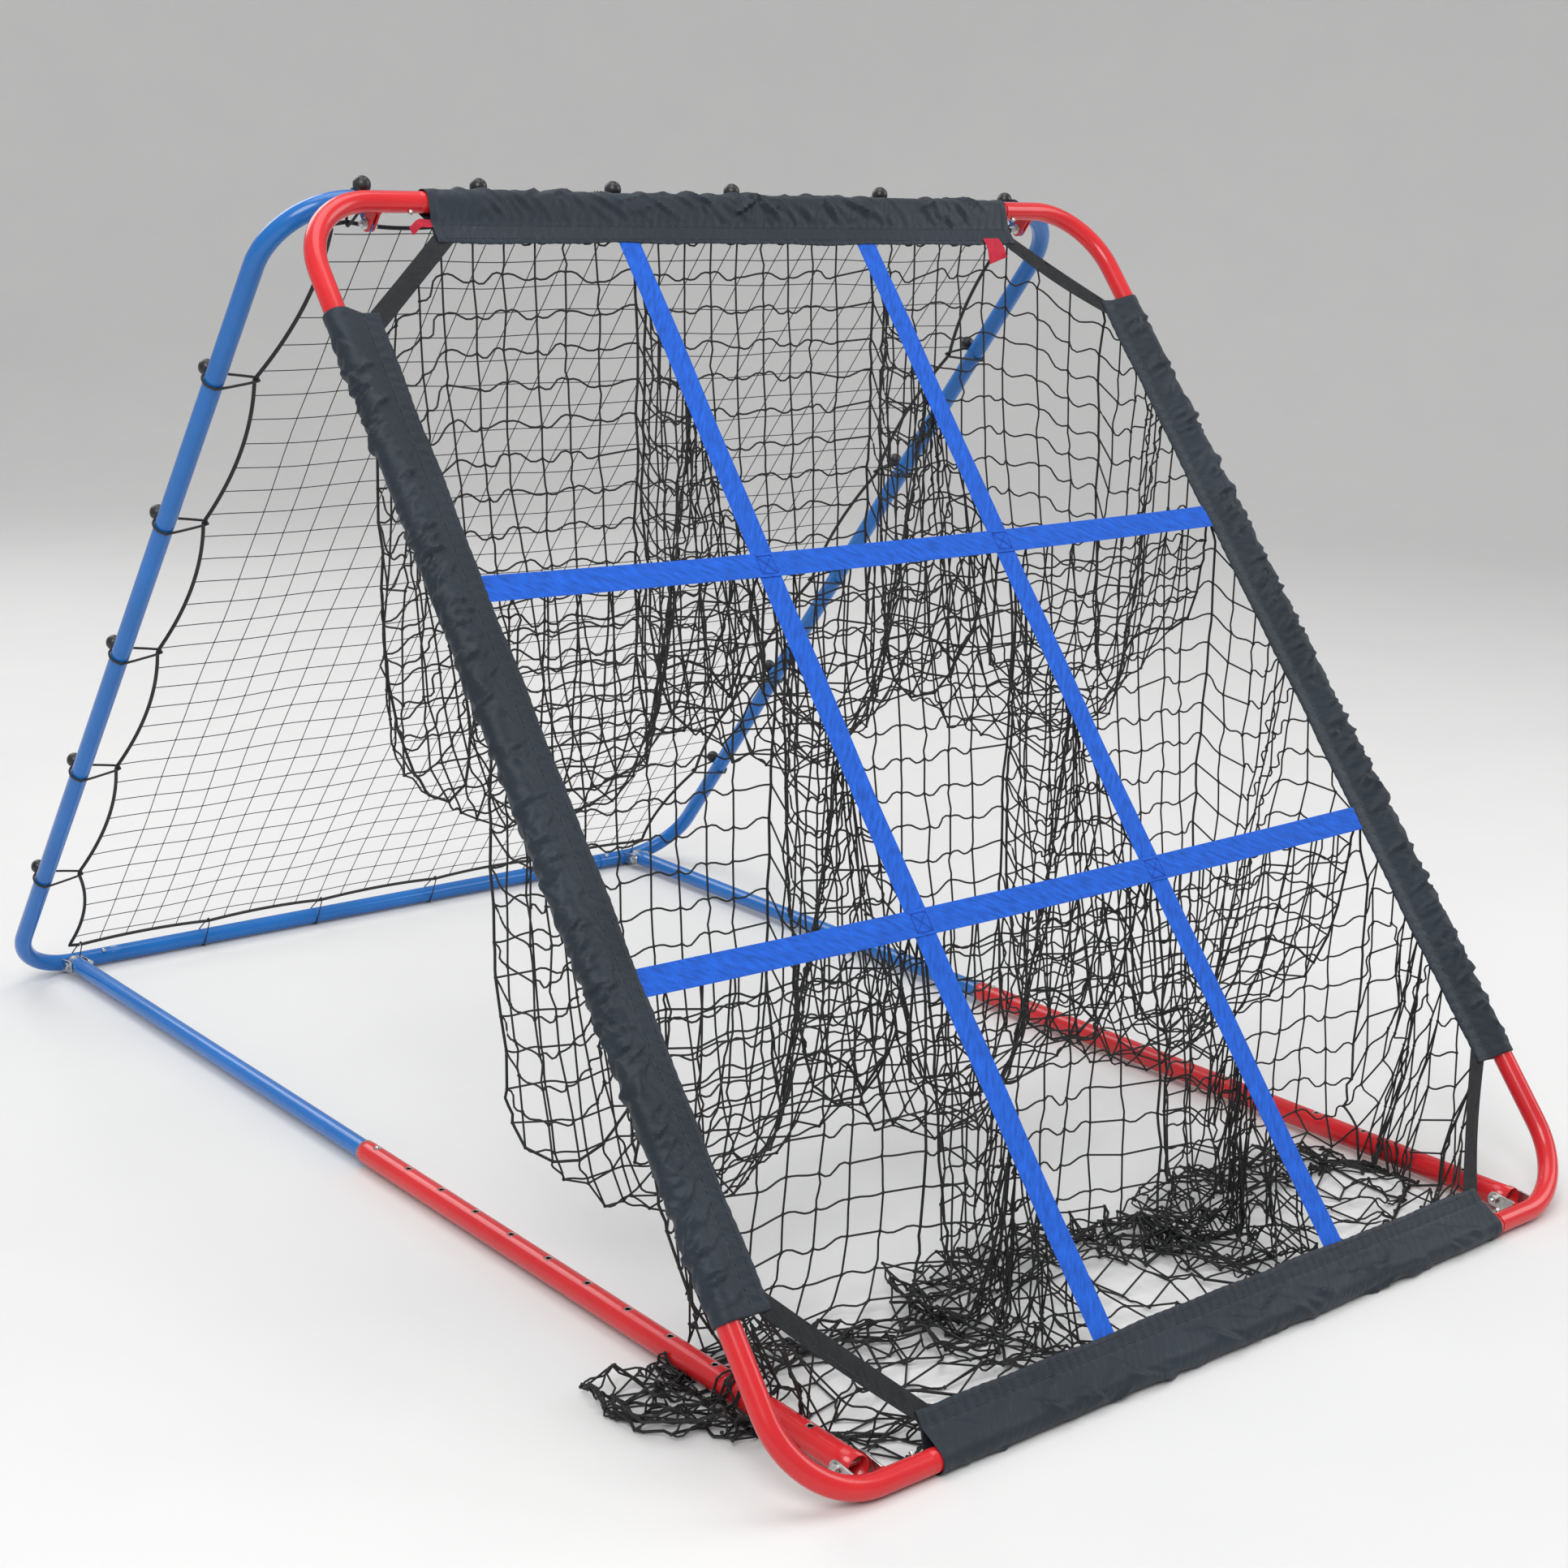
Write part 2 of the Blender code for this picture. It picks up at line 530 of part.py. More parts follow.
def build_covers():
    """The four sleeves, the corner straps, the target straps and the two red tabs."""
    across = Vector((1.0, 0.0, 0.0))
    slope = Vector((0.0, 0.0, 1.0))
    sleeve("top_sleeve", on_frame(0.0, FRAME_LENGTH), 2 * TOP_COVER_HALF, -slope, across, TOP_FLANGE)
    sleeve("bottom_sleeve", on_frame(0.0, 0.0), 2 * BOTTOM_COVER_HALF, slope, -across, BOTTOM_FLANGE,
           math.pi - LEAN)
    side_length = SIDE_COVER_HIGH - SIDE_COVER_LOW
    side_middle = (SIDE_COVER_HIGH + SIDE_COVER_LOW) / 2
    layer = (STRAP_THICKNESS + GAP) / 2
    for name, side in SIDES:
        sleeve(f"side_sleeve_{name}", on_frame(side * HALF_WIDTH, side_middle), side_length,
               -side * across, slope, SIDE_FLANGE)
        tip = side * (SIDE_TIP - GAP)
        for level, edge, end, half, run in (
                ("top", TOP_TIP - GAP, SIDE_COVER_HIGH, TOP_COVER_HALF, -1),
                ("bottom", BOTTOM_TIP + GAP, SIDE_COVER_LOW, BOTTOM_COVER_HALF, 1)):
            strap(f"corner_strap_{level}_{name}", [
                (side * half, edge), (side * (half - CORNER_STRAP_WIDTH), edge),
                (tip, end + run * CORNER_STRAP_WIDTH), (tip, end)], 0.0, BLACK_WEBBING)
        x = side * STRAP_COLUMN_X
        half = STRAP_WIDTH / 2
        strap(f"target_strap_upright_{name}", [
            (x - half, BOTTOM_TIP + GAP), (x + half, BOTTOM_TIP + GAP),
            (x + half, TOP_TIP - GAP), (x - half, TOP_TIP - GAP)], layer, BLUE_WEBBING)
    tab_x = TOP_COVER_HALF - CORNER_STRAP_WIDTH - TAB_WIDTH
    strap("red_tab_right", [
        (tab_x, TOP_TIP - GAP), (tab_x + TAB_WIDTH, TOP_TIP - GAP),
        (tab_x + TAB_WIDTH, TOP_TIP - TAB_LENGTH), (tab_x, TOP_TIP - TAB_LENGTH)], -layer, RED_TAPE)
    root_x = -TOP_COVER_HALF - GAP
    root_up = FRAME_LENGTH - LOOSE_TAB_DROP
    end_up = root_up - LOOSE_TAB_TILT * TAB_LENGTH
    strap("red_tab_left", [
        (root_x, root_up), (root_x, root_up - TAB_WIDTH),
        (root_x - TAB_LENGTH, end_up - TAB_WIDTH), (root_x - TAB_LENGTH, end_up)], -layer, RED_TAPE)
    reach = SIDE_TIP - GAP
    for name, up in zip(("lower", "upper"), STRAP_ROWS):
        half = STRAP_WIDTH / 2
        strap(f"target_strap_level_{name}", [
            (-reach, up - half), (reach, up - half), (reach, up + half), (-reach, up + half)],
            -layer, BLUE_WEBBING)


# Net pockets

def net_mesh(name, left, right, rows):
    """The open grid of a bag between its left and right outlines.

    The first rows of the outlines' points bound the sheet between them. Each outline is also a side wall,
    parted by two strands from its back to its front. Every cell is inset by half a strand and opened.
    """
    shape = bmesh.new()
    columns = []
    for column in range(MESH_COLUMNS + 1):
        share = column / MESH_COLUMNS
        columns.append([shape.verts.new(a.lerp(b, share)) for a, b in zip(left[:rows], right[:rows])])
    for here, there in zip(columns, columns[1:]):
        for row in range(rows - 1):
            shape.faces.new((there[row], there[row + 1], here[row + 1], here[row]))
    front = rows - 1
    heel = MESH_BACK_ROWS
    for outline, edge, turn in ((left, columns[0], 1), (right, columns[-1], -1)):
        mouth = [shape.verts.new(point) for point in outline[rows:]]
        upper = edge[:heel] + [edge[front]] + mouth
        middle = [edge[heel - 1], edge[heel], edge[front - 1], edge[front]]
        for cell in (upper, middle, edge[heel:front]):
            shape.faces.new(cell[::turn])
    shape.normal_update()
    cells = shape.faces[:]
    bmesh.ops.inset_individual(shape, faces=cells, thickness=MESH_STRAND / 2, use_even_offset=True)
    bmesh.ops.delete(shape, geom=cells, context="FACES_ONLY")
    bmesh.ops.triangulate(shape, faces=shape.faces)
    mesh = bpy.data.meshes.new(name)
    shape.to_mesh(mesh)
    shape.free()
    return mesh


def pocket(name, left, right, low, high, cut_top, cut_bottom):
    """A net bag behind one target opening, hanging plumb from its upper edge.

    Its two side outlines run from the upper edge of the mouth down the back, under the bag and up the
    front to the lower edge; the mouth between them stays open. The sheet between the outlines and the
    two side walls are a plain grid of strands. cut_top and cut_bottom give how far a corner strap cuts
    off the mouth's corners on the left and on the right.
    """
    def world(up):
        inset = POCKET_SET_BACK
        return (-FRAME_Y + up * math.sin(LEAN) + inset * math.cos(LEAN),
                RAIL_Z + up * math.cos(LEAN) - inset * math.sin(LEAN))

    back_y, back_z = world(high)
    front_y, front_z = world(low)
    floor = max(back_z - POCKET_DROP, POCKET_FLOOR)
    lip = max(front_z - POCKET_LIP, floor)
    depth = back_y - front_y
    slack = min(depth * 0.30, back_z - floor)
    y0, y1 = front_y, back_y
    outline = [(y1, back_z), (y1, floor + slack), (y1 - 0.15 * depth, floor + 0.3 * slack),
               (y1 - 0.45 * depth, floor), (y0 + 0.2 * depth, floor + 0.5 * (lip - floor)),
               (y0 + POCKET_WALL, lip), (y0, front_z)]
    gather = (0.0, 0.8, 1.0, 1.0, 0.9, 0.7, 0.0)
    mouth_y, mouth_z = world(SIDE_COVER_HIGH)
    if any(cut_top):
        outline.append((mouth_y, mouth_z))
        gather += (0.0,)
    sides = []
    for edge, inward, trim_top, trim_bottom in ((left, 1, cut_top[0], cut_bottom[0]),
                                                (right, -1, cut_top[1], cut_bottom[1])):
        side = []
        for index, ((y, z), draw) in enumerate(zip(outline, gather)):
            trim = POCKET_NARROWING * draw
            if index == 0:
                trim = trim_top
            elif index in (1, 2) and trim_bottom:
                trim = trim_bottom / 2
            elif 3 <= index <= 6 and trim_bottom:
                trim = trim_bottom
            side.append(Vector((edge + inward * trim, y, z)))
        back_rows = [side[0].lerp(side[1], row / MESH_BACK_ROWS) for row in range(MESH_BACK_ROWS)]
        sides.append(back_rows + side[1:])
    mesh = net_mesh(name, *sides, MESH_BACK_ROWS + 6)
    part = add_part(name, mesh, FRONT, BLACK_NET)
    part.matrix_parent_inverse = FRONT_INVERSE
    shell = part.modifiers.new("net", "SOLIDIFY")
    shell.thickness = POCKET_WALL
    shell.offset = 1.0


def build_pockets():
    """Nine pockets, one behind each opening of the target grid."""
    edges_x = (-SIDE_TIP, -STRAP_COLUMN_X, STRAP_COLUMN_X, SIDE_TIP)
    edges_up = (BOTTOM_TIP, *STRAP_ROWS, TOP_TIP)
    corner_top = SIDE_TIP - TOP_COVER_HALF
    corner_bottom = SIDE_TIP - BOTTOM_COVER_HALF
    for row, row_name in enumerate(("bottom", "middle", "top")):
        for column, column_name in enumerate(("left", "centre", "right")):
            cut_top = [corner_top if row == 2 and column == c else 0.0 for c in (0, 2)]
            cut_bottom = [corner_bottom if row == 0 and column == c else 0.0 for c in (0, 2)]
            pocket(f"pocket_{row_name}_{column_name}",
                   edges_x[column] + POCKET_INSET, edges_x[column + 1] - POCKET_INSET,
                   edges_up[row] + POCKET_INSET, edges_up[row + 1] - POCKET_INSET, cut_top, cut_bottom)


# Rebound net of the back frame

def scallop(places, depths, sag, at):
    """The edge cord's distance at a place: straight from anchor to anchor, less a sag between them."""
    for start, end, first, last in zip(places, places[1:], depths, depths[1:]):
        if at <= end:
            share = max(0.0, (at - start) / (end - start))
            return first + (last - first) * share - 4 * sag * share * (1 - share)
    return depths[-1]


CORNER_REACH = HALF_WIDTH - SIDE_CORNER_SPAN
SIDE_DEPTHS = (CORNER_REACH, *[SIDE_REACH] * SIDE_BUNGEES, CORNER_REACH)


def side_edge(up):
    """Half the width between the side cords."""
    return scallop(SIDE_ANCHORS, SIDE_DEPTHS, SIDE_SAG, up)


def top_edge(x):
    """The top cord's height."""
    return scallop(TOP_ANCHORS, [TOP_EDGE] * len(TOP_ANCHORS), TOP_SAG, x)


def bottom_edge(x):
    """The bottom cord's height."""
    return -scallop(BOTTOM_ANCHORS, [-BOTTOM_EDGE] * len(BOTTOM_ANCHORS), BOTTOM_SAG, x)


def build_rebound_net():
    """The square rebound net, stretched to just inside the edge cord."""
    shape = bmesh.new()
    bmesh.ops.create_grid(shape, x_segments=NET_COLUMNS, y_segments=NET_ROWS, size=1.0)
    low = BOTTOM_EDGE + NET_CLEARANCE
    high = TOP_EDGE - NET_CLEARANCE
    for vert in shape.verts:
        up = low + (high - low) * (vert.co.y + 1) / 2
        x = vert.co.x * (side_edge(up) - NET_CLEARANCE)
        if vert.co.y < -0.999:
            up = bottom_edge(x) + NET_CLEARANCE
        if vert.co.y > 0.999:
            up = top_edge(x) - NET_CLEARANCE
        vert.co = on_frame(x, up)
    mesh = bpy.data.meshes.new("rebound_net")
    shape.to_mesh(mesh)
    shape.free()
    part = add_part("rebound_net", mesh, BACK, BLACK_NET)
    strands = part.modifiers.new("strands", "WIREFRAME")
    strands.thickness = NET_STRAND
    strands.use_even_offset = False
    strands.use_boundary = True


def cord_points(places, point):
    """Points along an edge cord, with a few between each pair of anchors."""
    points = []
    for start, end in zip(places, places[1:]):
        points += [point(start + (end - start) * k / CORD_STEPS) for k in range(CORD_STEPS)]
    return [*points, point(places[-1])]


def bungee(name, tube_centre, inward, reach, thickness, ball_direction):
    """An elastic loop round a tube and its edge cord, with a ball where there is one."""
    normal = Vector((0.0, 1.0, 0.0))
    radius = (TUBE_R + GAP + thickness / 2) / math.cos(math.radians(15.0))
    points = [tube_centre + radius * (normal * math.sin(a) - inward * math.cos(a))
              for a in (math.radians(d) for d in range(-90, 91, 30))]
    waist = (CORD_DIAMETER + thickness) / 4
    points += [tube_centre + inward * reach + normal * waist, tube_centre + inward * reach - normal * waist]
    loop = add_cutter(name, swept(points, thickness / 2, 0, closed=True, tilt=math.radians(45.0)), BACK)
    shapes = [loop]
    if ball_direction is not None:
        shape = bmesh.new()
        place = tube_centre + ball_direction * (TUBE_R + GAP + BALL_DIAMETER / 2)
        bmesh.ops.create_uvsphere(
            shape, u_segments=8, v_segments=4, radius=BALL_DIAMETER / 2, matrix=Matrix.Translation(place))
        mesh = bpy.data.meshes.new("ball")
        shape.to_mesh(mesh)
        shape.free()
        shapes.append(add_cutter(f"{name}_ball", mesh, BACK))
    return shapes


def edge_cord(name, points, bungees):
    """One side of the edge cord, joined with the bungees that hold it."""
    part = add_part(name, swept(points, CORD_DIAMETER / 2, 1), BACK, BLACK_RUBBER)
    for shapes in bungees:
        for shape in shapes:
            combine(part, "UNION", shape)


def build_edges():
    """The edge cords along the four sides of the rebound net, with their bungees and ties."""
    outward = Vector((0.0, -1.0, 0.0))
    for name, direction in SIDES:
        side = -direction
        inward = Vector((-side, 0.0, 0.0))
        points = cord_points(SIDE_ANCHORS, lambda up: on_frame(side * side_edge(up), up))
        loops = [bungee(f"{name}_bungee_{k}", on_frame(side * HALF_WIDTH, up), inward,
                        HALF_WIDTH - SIDE_REACH, BUNGEE_DIAMETER, outward)
                 for k, up in enumerate(SIDE_BUNGEE_PLACES)]
        edge_cord(f"net_cord_{name}", points, loops)
    down = Vector((0.0, 0.0, -1.0))
    points = cord_points(TOP_ANCHORS, lambda x: on_frame(-x, top_edge(x)))
    loops = [bungee(f"top_bungee_{k}", on_frame(-x, FRAME_LENGTH), down, FRAME_LENGTH - TOP_EDGE,
                    BUNGEE_DIAMETER, -down) for k, x in enumerate(TOP_ANCHORS)]
    edge_cord("net_cord_top", points, loops)
    points = cord_points(BOTTOM_ANCHORS, lambda x: on_frame(-x, bottom_edge(x)))
    loops = [bungee(f"bottom_tie_{k}", on_frame(-x, 0.0), -down, BOTTOM_EDGE, TIE_THICKNESS, None)
             for k, x in enumerate(BOTTOM_ANCHORS)]
    edge_cord("net_cord_bottom", points, loops)


bpy.context.view_layer.update()
FRONT_INVERSE = FRONT.matrix_world.inverted()

FRONT_LUG = LUG_THICKNESS + LUG_PLAY
build_frame("front", FRONT, RED_PAINT, 1, (-FRONT_LUG, FRONT_LUG), OUTER_DIAMETER / 2 + LUG_PLAY)
build_frame("back", BACK, BLUE_PAINT, -1, (0.0,), INNER_DIAMETER / 2 + LUG_PLAY)
build_base()
build_covers()
build_pockets()
build_rebound_net()
build_edges()
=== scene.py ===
"""Pitch back rebounder, dressed for display around its fixed frame.

Metres, +Z up. X runs across the frames, the front frame stands at -Y and the back frame at +Y. Every shape is
worked out as whole arrays: a profile carried along a path, a surface turned about an axis, or a grid of two
parameters. The pocket nets are settled under gravity from their knots before their strands are drawn.
"""

import json
import logging
import math
from dataclasses import dataclass
from enum import Enum

import bpy
import numpy as np
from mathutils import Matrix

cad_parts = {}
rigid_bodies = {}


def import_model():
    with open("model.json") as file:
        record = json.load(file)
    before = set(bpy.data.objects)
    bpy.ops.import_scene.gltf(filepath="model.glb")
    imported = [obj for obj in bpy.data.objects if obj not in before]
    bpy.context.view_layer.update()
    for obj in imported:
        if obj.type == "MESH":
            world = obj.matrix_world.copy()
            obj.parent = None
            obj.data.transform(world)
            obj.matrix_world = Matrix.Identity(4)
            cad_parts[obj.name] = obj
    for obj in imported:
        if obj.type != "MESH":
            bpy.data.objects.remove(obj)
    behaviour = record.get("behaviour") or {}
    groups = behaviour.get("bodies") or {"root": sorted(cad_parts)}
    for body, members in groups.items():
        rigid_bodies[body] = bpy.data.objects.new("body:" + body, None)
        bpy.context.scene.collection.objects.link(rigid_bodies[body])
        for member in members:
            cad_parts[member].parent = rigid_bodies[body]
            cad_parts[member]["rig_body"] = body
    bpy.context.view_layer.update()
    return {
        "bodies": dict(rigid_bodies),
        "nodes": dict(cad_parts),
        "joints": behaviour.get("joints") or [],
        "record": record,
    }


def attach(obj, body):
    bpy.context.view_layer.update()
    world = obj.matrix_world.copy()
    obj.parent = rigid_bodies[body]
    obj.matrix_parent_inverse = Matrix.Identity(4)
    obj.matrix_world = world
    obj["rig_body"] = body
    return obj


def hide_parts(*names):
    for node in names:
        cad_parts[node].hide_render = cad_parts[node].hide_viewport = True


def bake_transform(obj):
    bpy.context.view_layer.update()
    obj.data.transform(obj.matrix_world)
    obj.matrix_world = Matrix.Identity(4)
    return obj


LOG = logging.getLogger("rebounder")
Array = np.ndarray

# Sizes of the frame that several sub-assemblies share
LEAN = math.radians(38.65)
SIN = math.sin(LEAN)
COS = math.cos(LEAN)
HALF_WIDTH = 0.745
FRAME_LENGTH = 1.792
BEND_RADIUS = 0.115
TUBE_R = 0.015
TUBE_WALL = 0.0012
SPIGOT_R = 0.0129
SPIGOT_LENGTH = 0.045
RAIL_Z = 0.0175
TOP_RAIL_Y = 0.0225
FRAME_Y = TOP_RAIL_Y + FRAME_LENGTH * SIN
HINGE_DROP = 0.030
HINGE_Z = RAIL_Z + FRAME_LENGTH * COS - HINGE_DROP
SEAM_X = 0.556
HINGE_X = 0.618
BASE_X = 0.637
BASE_R = 0.0175
PIVOT_INSET = 0.046
PIVOT_RISE = 0.006
PIVOT_Y = FRAME_Y - PIVOT_INSET
PIVOT_Z = RAIL_Z + PIVOT_RISE
COVER_R = 0.0179
TOP_TIP = 1.724
BOTTOM_TIP = 0.060
SIDE_TIP = 0.683
TOP_COVER_HALF = 0.548
BOTTOM_COVER_HALF = 0.546
SIDE_COVER_LOW = 0.225
SIDE_COVER_HIGH = 1.610
STRAP_COLUMN_X = 0.226
STRAP_ROWS = (0.640, 1.190)
SIDES = (("left", -1.0), ("right", 1.0))
SIDE_SIGN = dict(SIDES)
STITCH_LIFT = 0.0006
X_AXIS = np.array((1.0, 0.0, 0.0))
Z_AXIS = np.array((0.0, 0.0, 1.0))
ODD_AXIS = np.array((0.31, 0.52, 0.79))


def unit(vectors: Array) -> Array:
    """Vectors divided by their own length."""
    return vectors / np.maximum(np.linalg.norm(vectors, axis=-1, keepdims=True), 1e-12)


def angles(count: int) -> Array:
    """Equal angles round a circle, from zero."""
    return np.arange(count) * 2 * np.pi / count


def circle(radius: float, sides: int) -> Array:
    """Points of a circle in a plane, counted anticlockwise."""
    turn = angles(sides)
    return radius * np.stack([np.cos(turn), np.sin(turn)], axis=-1)


def spokes(axis: Array, sides: int) -> Array:
    """Equal directions round an axis and square to it; no axis here runs along the odd one."""
    side = unit(np.cross(axis, ODD_AXIS))
    ring = circle(1.0, sides)
    return ring[:, :1] * side + ring[:, 1:] * np.cross(axis, side)


def run_of(line: Array) -> Array:
    """The distance along a line at each of its points."""
    return np.concatenate([[0.0], np.cumsum(np.linalg.norm(np.diff(line, axis=0), axis=1))])


def rounded(points: Array, per_span: int, closed: bool = False) -> Array:
    """A smooth curve through points: a cubic in each span whose slope at a point follows its neighbours.

    Args:
        points: places to pass, (n, 3).
        per_span: steps in each span.
        closed: whether the last point runs on to the first.

    Returns:
        The curve's points.
    """
    if closed:
        before, here, after, later = (np.roll(points, k, axis=0) for k in (1, 0, -1, -2))
    else:
        line = np.concatenate([[2 * points[0] - points[1]], points, [2 * points[-1] - points[-2]]])
        before, here, after, later = line[:-3], line[1:-2], line[2:-1], line[3:]
    before, here, after, later = (p[:, None] for p in (before, here, after, later))
    s = (np.arange(per_span) / per_span)[None, :, None]
    curve = 0.5 * (2 * here + (after - before) * s + (2 * before - 5 * here + 4 * after - later) * s**2
                   + (3 * here - before - 3 * after + later) * s**3)
    curve = curve.reshape(-1, 3)
    return curve if closed else np.concatenate([curve, points[-1:]])


def ripple(points: Array, pitch: float, seed: int, waves: int = 5) -> Array:
    """A smooth field of three values: each is a sum of plane waves, over about the root of their count.

    Args:
        points: where the field is wanted.
        pitch: the usual length of a wave.
        seed: sets the waves' headings and phases.
        waves: how many there are.

    Returns:
        Three values for each point.
    """
    rng = np.random.default_rng(seed)
    heading = unit(rng.normal(size=(waves, 3))) * (2 * np.pi / pitch) * rng.uniform(0.6, 1.5, (waves, 1))
    phase = rng.uniform(0, 2 * np.pi, (waves, 3))
    return np.sin((points @ heading.T)[..., None] + phase).sum(axis=-2) / 2.2


def sway(at: Array, paces: tuple, seed: int) -> Array:
    """A sum of sines, one for each pace, with seeded phases."""
    phases = np.random.default_rng(seed).uniform(0, 6.3, len(paces))
    return sum(np.sin(at * pace + phase) for pace, phase in zip(paces, phases))


def ramp(values: Array, start: float, width: float) -> Array:
    """A share that rises from 0 at the start to 1 a width further on."""
    return np.clip((values - start) / width, 0.0, 1.0)


def membrane(x: Array, up: Array, depth: float = 0.010) -> Array:
    """How far the target grid bows back: the depth times two parabolas, one across and one up the opening."""
    a = ramp(x, -SIDE_TIP, 2 * SIDE_TIP)
    b = ramp(up, BOTTOM_TIP, TOP_TIP - BOTTOM_TIP)
    return depth * 16 * a * (1 - a) * b * (1 - b)


@dataclass(frozen=True)
class Slope:
    """Coordinates on a leaning frame: across, up the slope from the bottom rail, and behind its plane."""

    sign: float

    def place(self, x: Array, up: Array, inward: Array = 0.0) -> Array:
        """A point at x, up along the slope and inward from the frame's plane."""
        x, up, inward = np.broadcast_arrays(x, up, inward)
        y = self.sign * (FRAME_Y - up * SIN - inward * COS)
        return np.stack([x, y, RAIL_Z + up * COS - inward * SIN], axis=-1)

    def hang(self, x: Array, up: Array, inward: Array) -> Array:
        """A point of the bowed target grid: it lies back by the bow and down the slope by a third of it."""
        bow = membrane(x, up)
        return self.place(x, up - 0.35 * bow, inward + bow)

    @property
    def normal(self) -> Array:
        """The direction behind the frame's plane, towards the other frame."""
        return np.array((0.0, -self.sign * COS, -SIN))

    @property
    def rise(self) -> Array:
        """The direction up the slope."""
        return np.array((0.0, -self.sign * SIN, COS))


FRONT = Slope(-1.0)
BACK = Slope(1.0)


@dataclass
class Skin:
    """A surface as arrays: points, groups of faces with equal corner counts, and a uv pair per corner."""

    points: Array
    faces: list[Array]
    uvs: list[Array]
    wear: Array | None = None

    @staticmethod
    def joined(skins: list["Skin"]) -> "Skin":
        """One skin of several, with each one's faces counted on past the points before it.

        Args:
            skins: the skins, in order.

        Returns:
            The whole skin.
        """
        starts = np.cumsum([0] + [len(s.points) for s in skins])
        wear = [np.zeros(len(s.points)) if s.wear is None else s.wear for s in skins]
        return Skin(np.concatenate([s.points for s in skins]),
                    [f + start for s, start in zip(skins, starts) for f in s.faces],
                    [u for s in skins for u in s.uvs], np.concatenate(wear))

    def mesh(self, name: str) -> bpy.types.Mesh:
        """The Blender mesh of this skin, with its uv map and its wear as a point attribute.

        Args:
            name: the mesh's name.

        Returns:
            The mesh, shaded smooth between its sharp edges.
        """
        mesh = bpy.data.meshes.new(name)
        loops = np.concatenate([f.ravel() for f in self.faces]).astype(np.int32)
        sizes = np.concatenate([np.full(len(f), f.shape[1]) for f in self.faces])
        starts = np.concatenate([[0], np.cumsum(sizes)[:-1]]).astype(np.int32)
        mesh.vertices.add(len(self.points))
        mesh.vertices.foreach_set("co", self.points.astype(np.float32).ravel())
        mesh.loops.add(len(loops))
        mesh.loops.foreach_set("vertex_index", loops)
        mesh.polygons.add(len(sizes))
        mesh.polygons.foreach_set("loop_start", starts)
        mesh.update(calc_edges=True)
        layer = mesh.uv_layers.new(name="UVMap")
        layer.data.foreach_set("uv", np.concatenate([u.reshape(-1) for u in self.uvs]).astype(np.float32))
        if self.wear is not None:
            worn = mesh.attributes.new("wear", "FLOAT", "POINT")
            worn.data.foreach_set("value", self.wear.astype(np.float32))
        mesh.shade_smooth()
        mesh.set_sharp_from_angle(angle=math.radians(38.0))
        return mesh


def grid_skin(points: Array, wrap_rows: bool = False, wrap_columns: bool = False,
              u: Array | None = None, v: Array | None = None) -> Skin:
    """Quads over grids of points; they face along (step in columns) x (step in rows).

    Args:
        points: one or more grids of equal size, (count, rows, columns, 3).
        wrap_rows: whether the last row joins the first.
        wrap_columns: whether the last column joins the first.
        u: the uv value of each row, with one more where the rows wrap.
        v: the uv value of each column, with one more where the columns wrap.

    Returns:
        The skin of all the grids.
    """
    count, rows, columns = points.shape[:3]
    u = np.arange(rows + 1) / rows if u is None else u
    v = np.arange(columns + 1) / columns if v is None else v
    row_steps = np.arange(rows - (not wrap_rows))
    column_steps = np.arange(columns - (not wrap_columns))
    a, b = np.meshgrid(row_steps, column_steps, indexing="ij")
    corners = ((a, b), (a, b + 1), (a + 1, b + 1), (a + 1, b))
    quads = np.stack([(p % rows) * columns + q % columns for p, q in corners], axis=-1).reshape(-1, 4)
    cells = np.stack([np.stack([u[p], v[q]], axis=-1) for p, q in corners], axis=-2).reshape(-1, 4, 2)
    starts = np.arange(count)[:, None, None] * rows * columns
    return Skin(points.reshape(-1, 3), [(quads + starts).reshape(-1, 4)], [np.tile(cells, (count, 1, 1))])


def capped(skin: Skin, count: int, rows: int, columns: int) -> Skin:
    """The skin with a flat face on the first and the last ring of each of its grids.

    Args:
        skin: grids of rings.
        count: how many grids it has.
        rows: rings in each.
        columns: points in each ring.

    Returns:
        The same skin.
    """
    starts = np.arange(count)[:, None] * rows * columns
    first = starts + np.arange(columns)[::-1]
    last = starts + (rows - 1) * columns + np.arange(columns)
    flat = np.tile(circle(0.5, columns) + 0.5, (count, 1, 1))
    skin.faces += [first, last]
    skin.uvs += [flat, flat]
    return skin


def rails_of(paths: Array, guide: Array, closed: bool) -> tuple[Array, Array]:
    """Two directions square to each path: guide x tangent, and tangent x that.

    Args:
        paths: lines of equal point count, (count, m, 3).
        guide: a direction that no path runs along.
        closed: whether each path runs round to its start.

    Returns:
        Both directions at every point.
    """
    if closed:
        tangent = unit(np.roll(paths, -1, axis=1) - np.roll(paths, 1, axis=1))
    else:
        tangent = unit(np.gradient(paths, axis=1))
    across = unit(np.cross(guide, tangent))
    return across, np.cross(tangent, across)


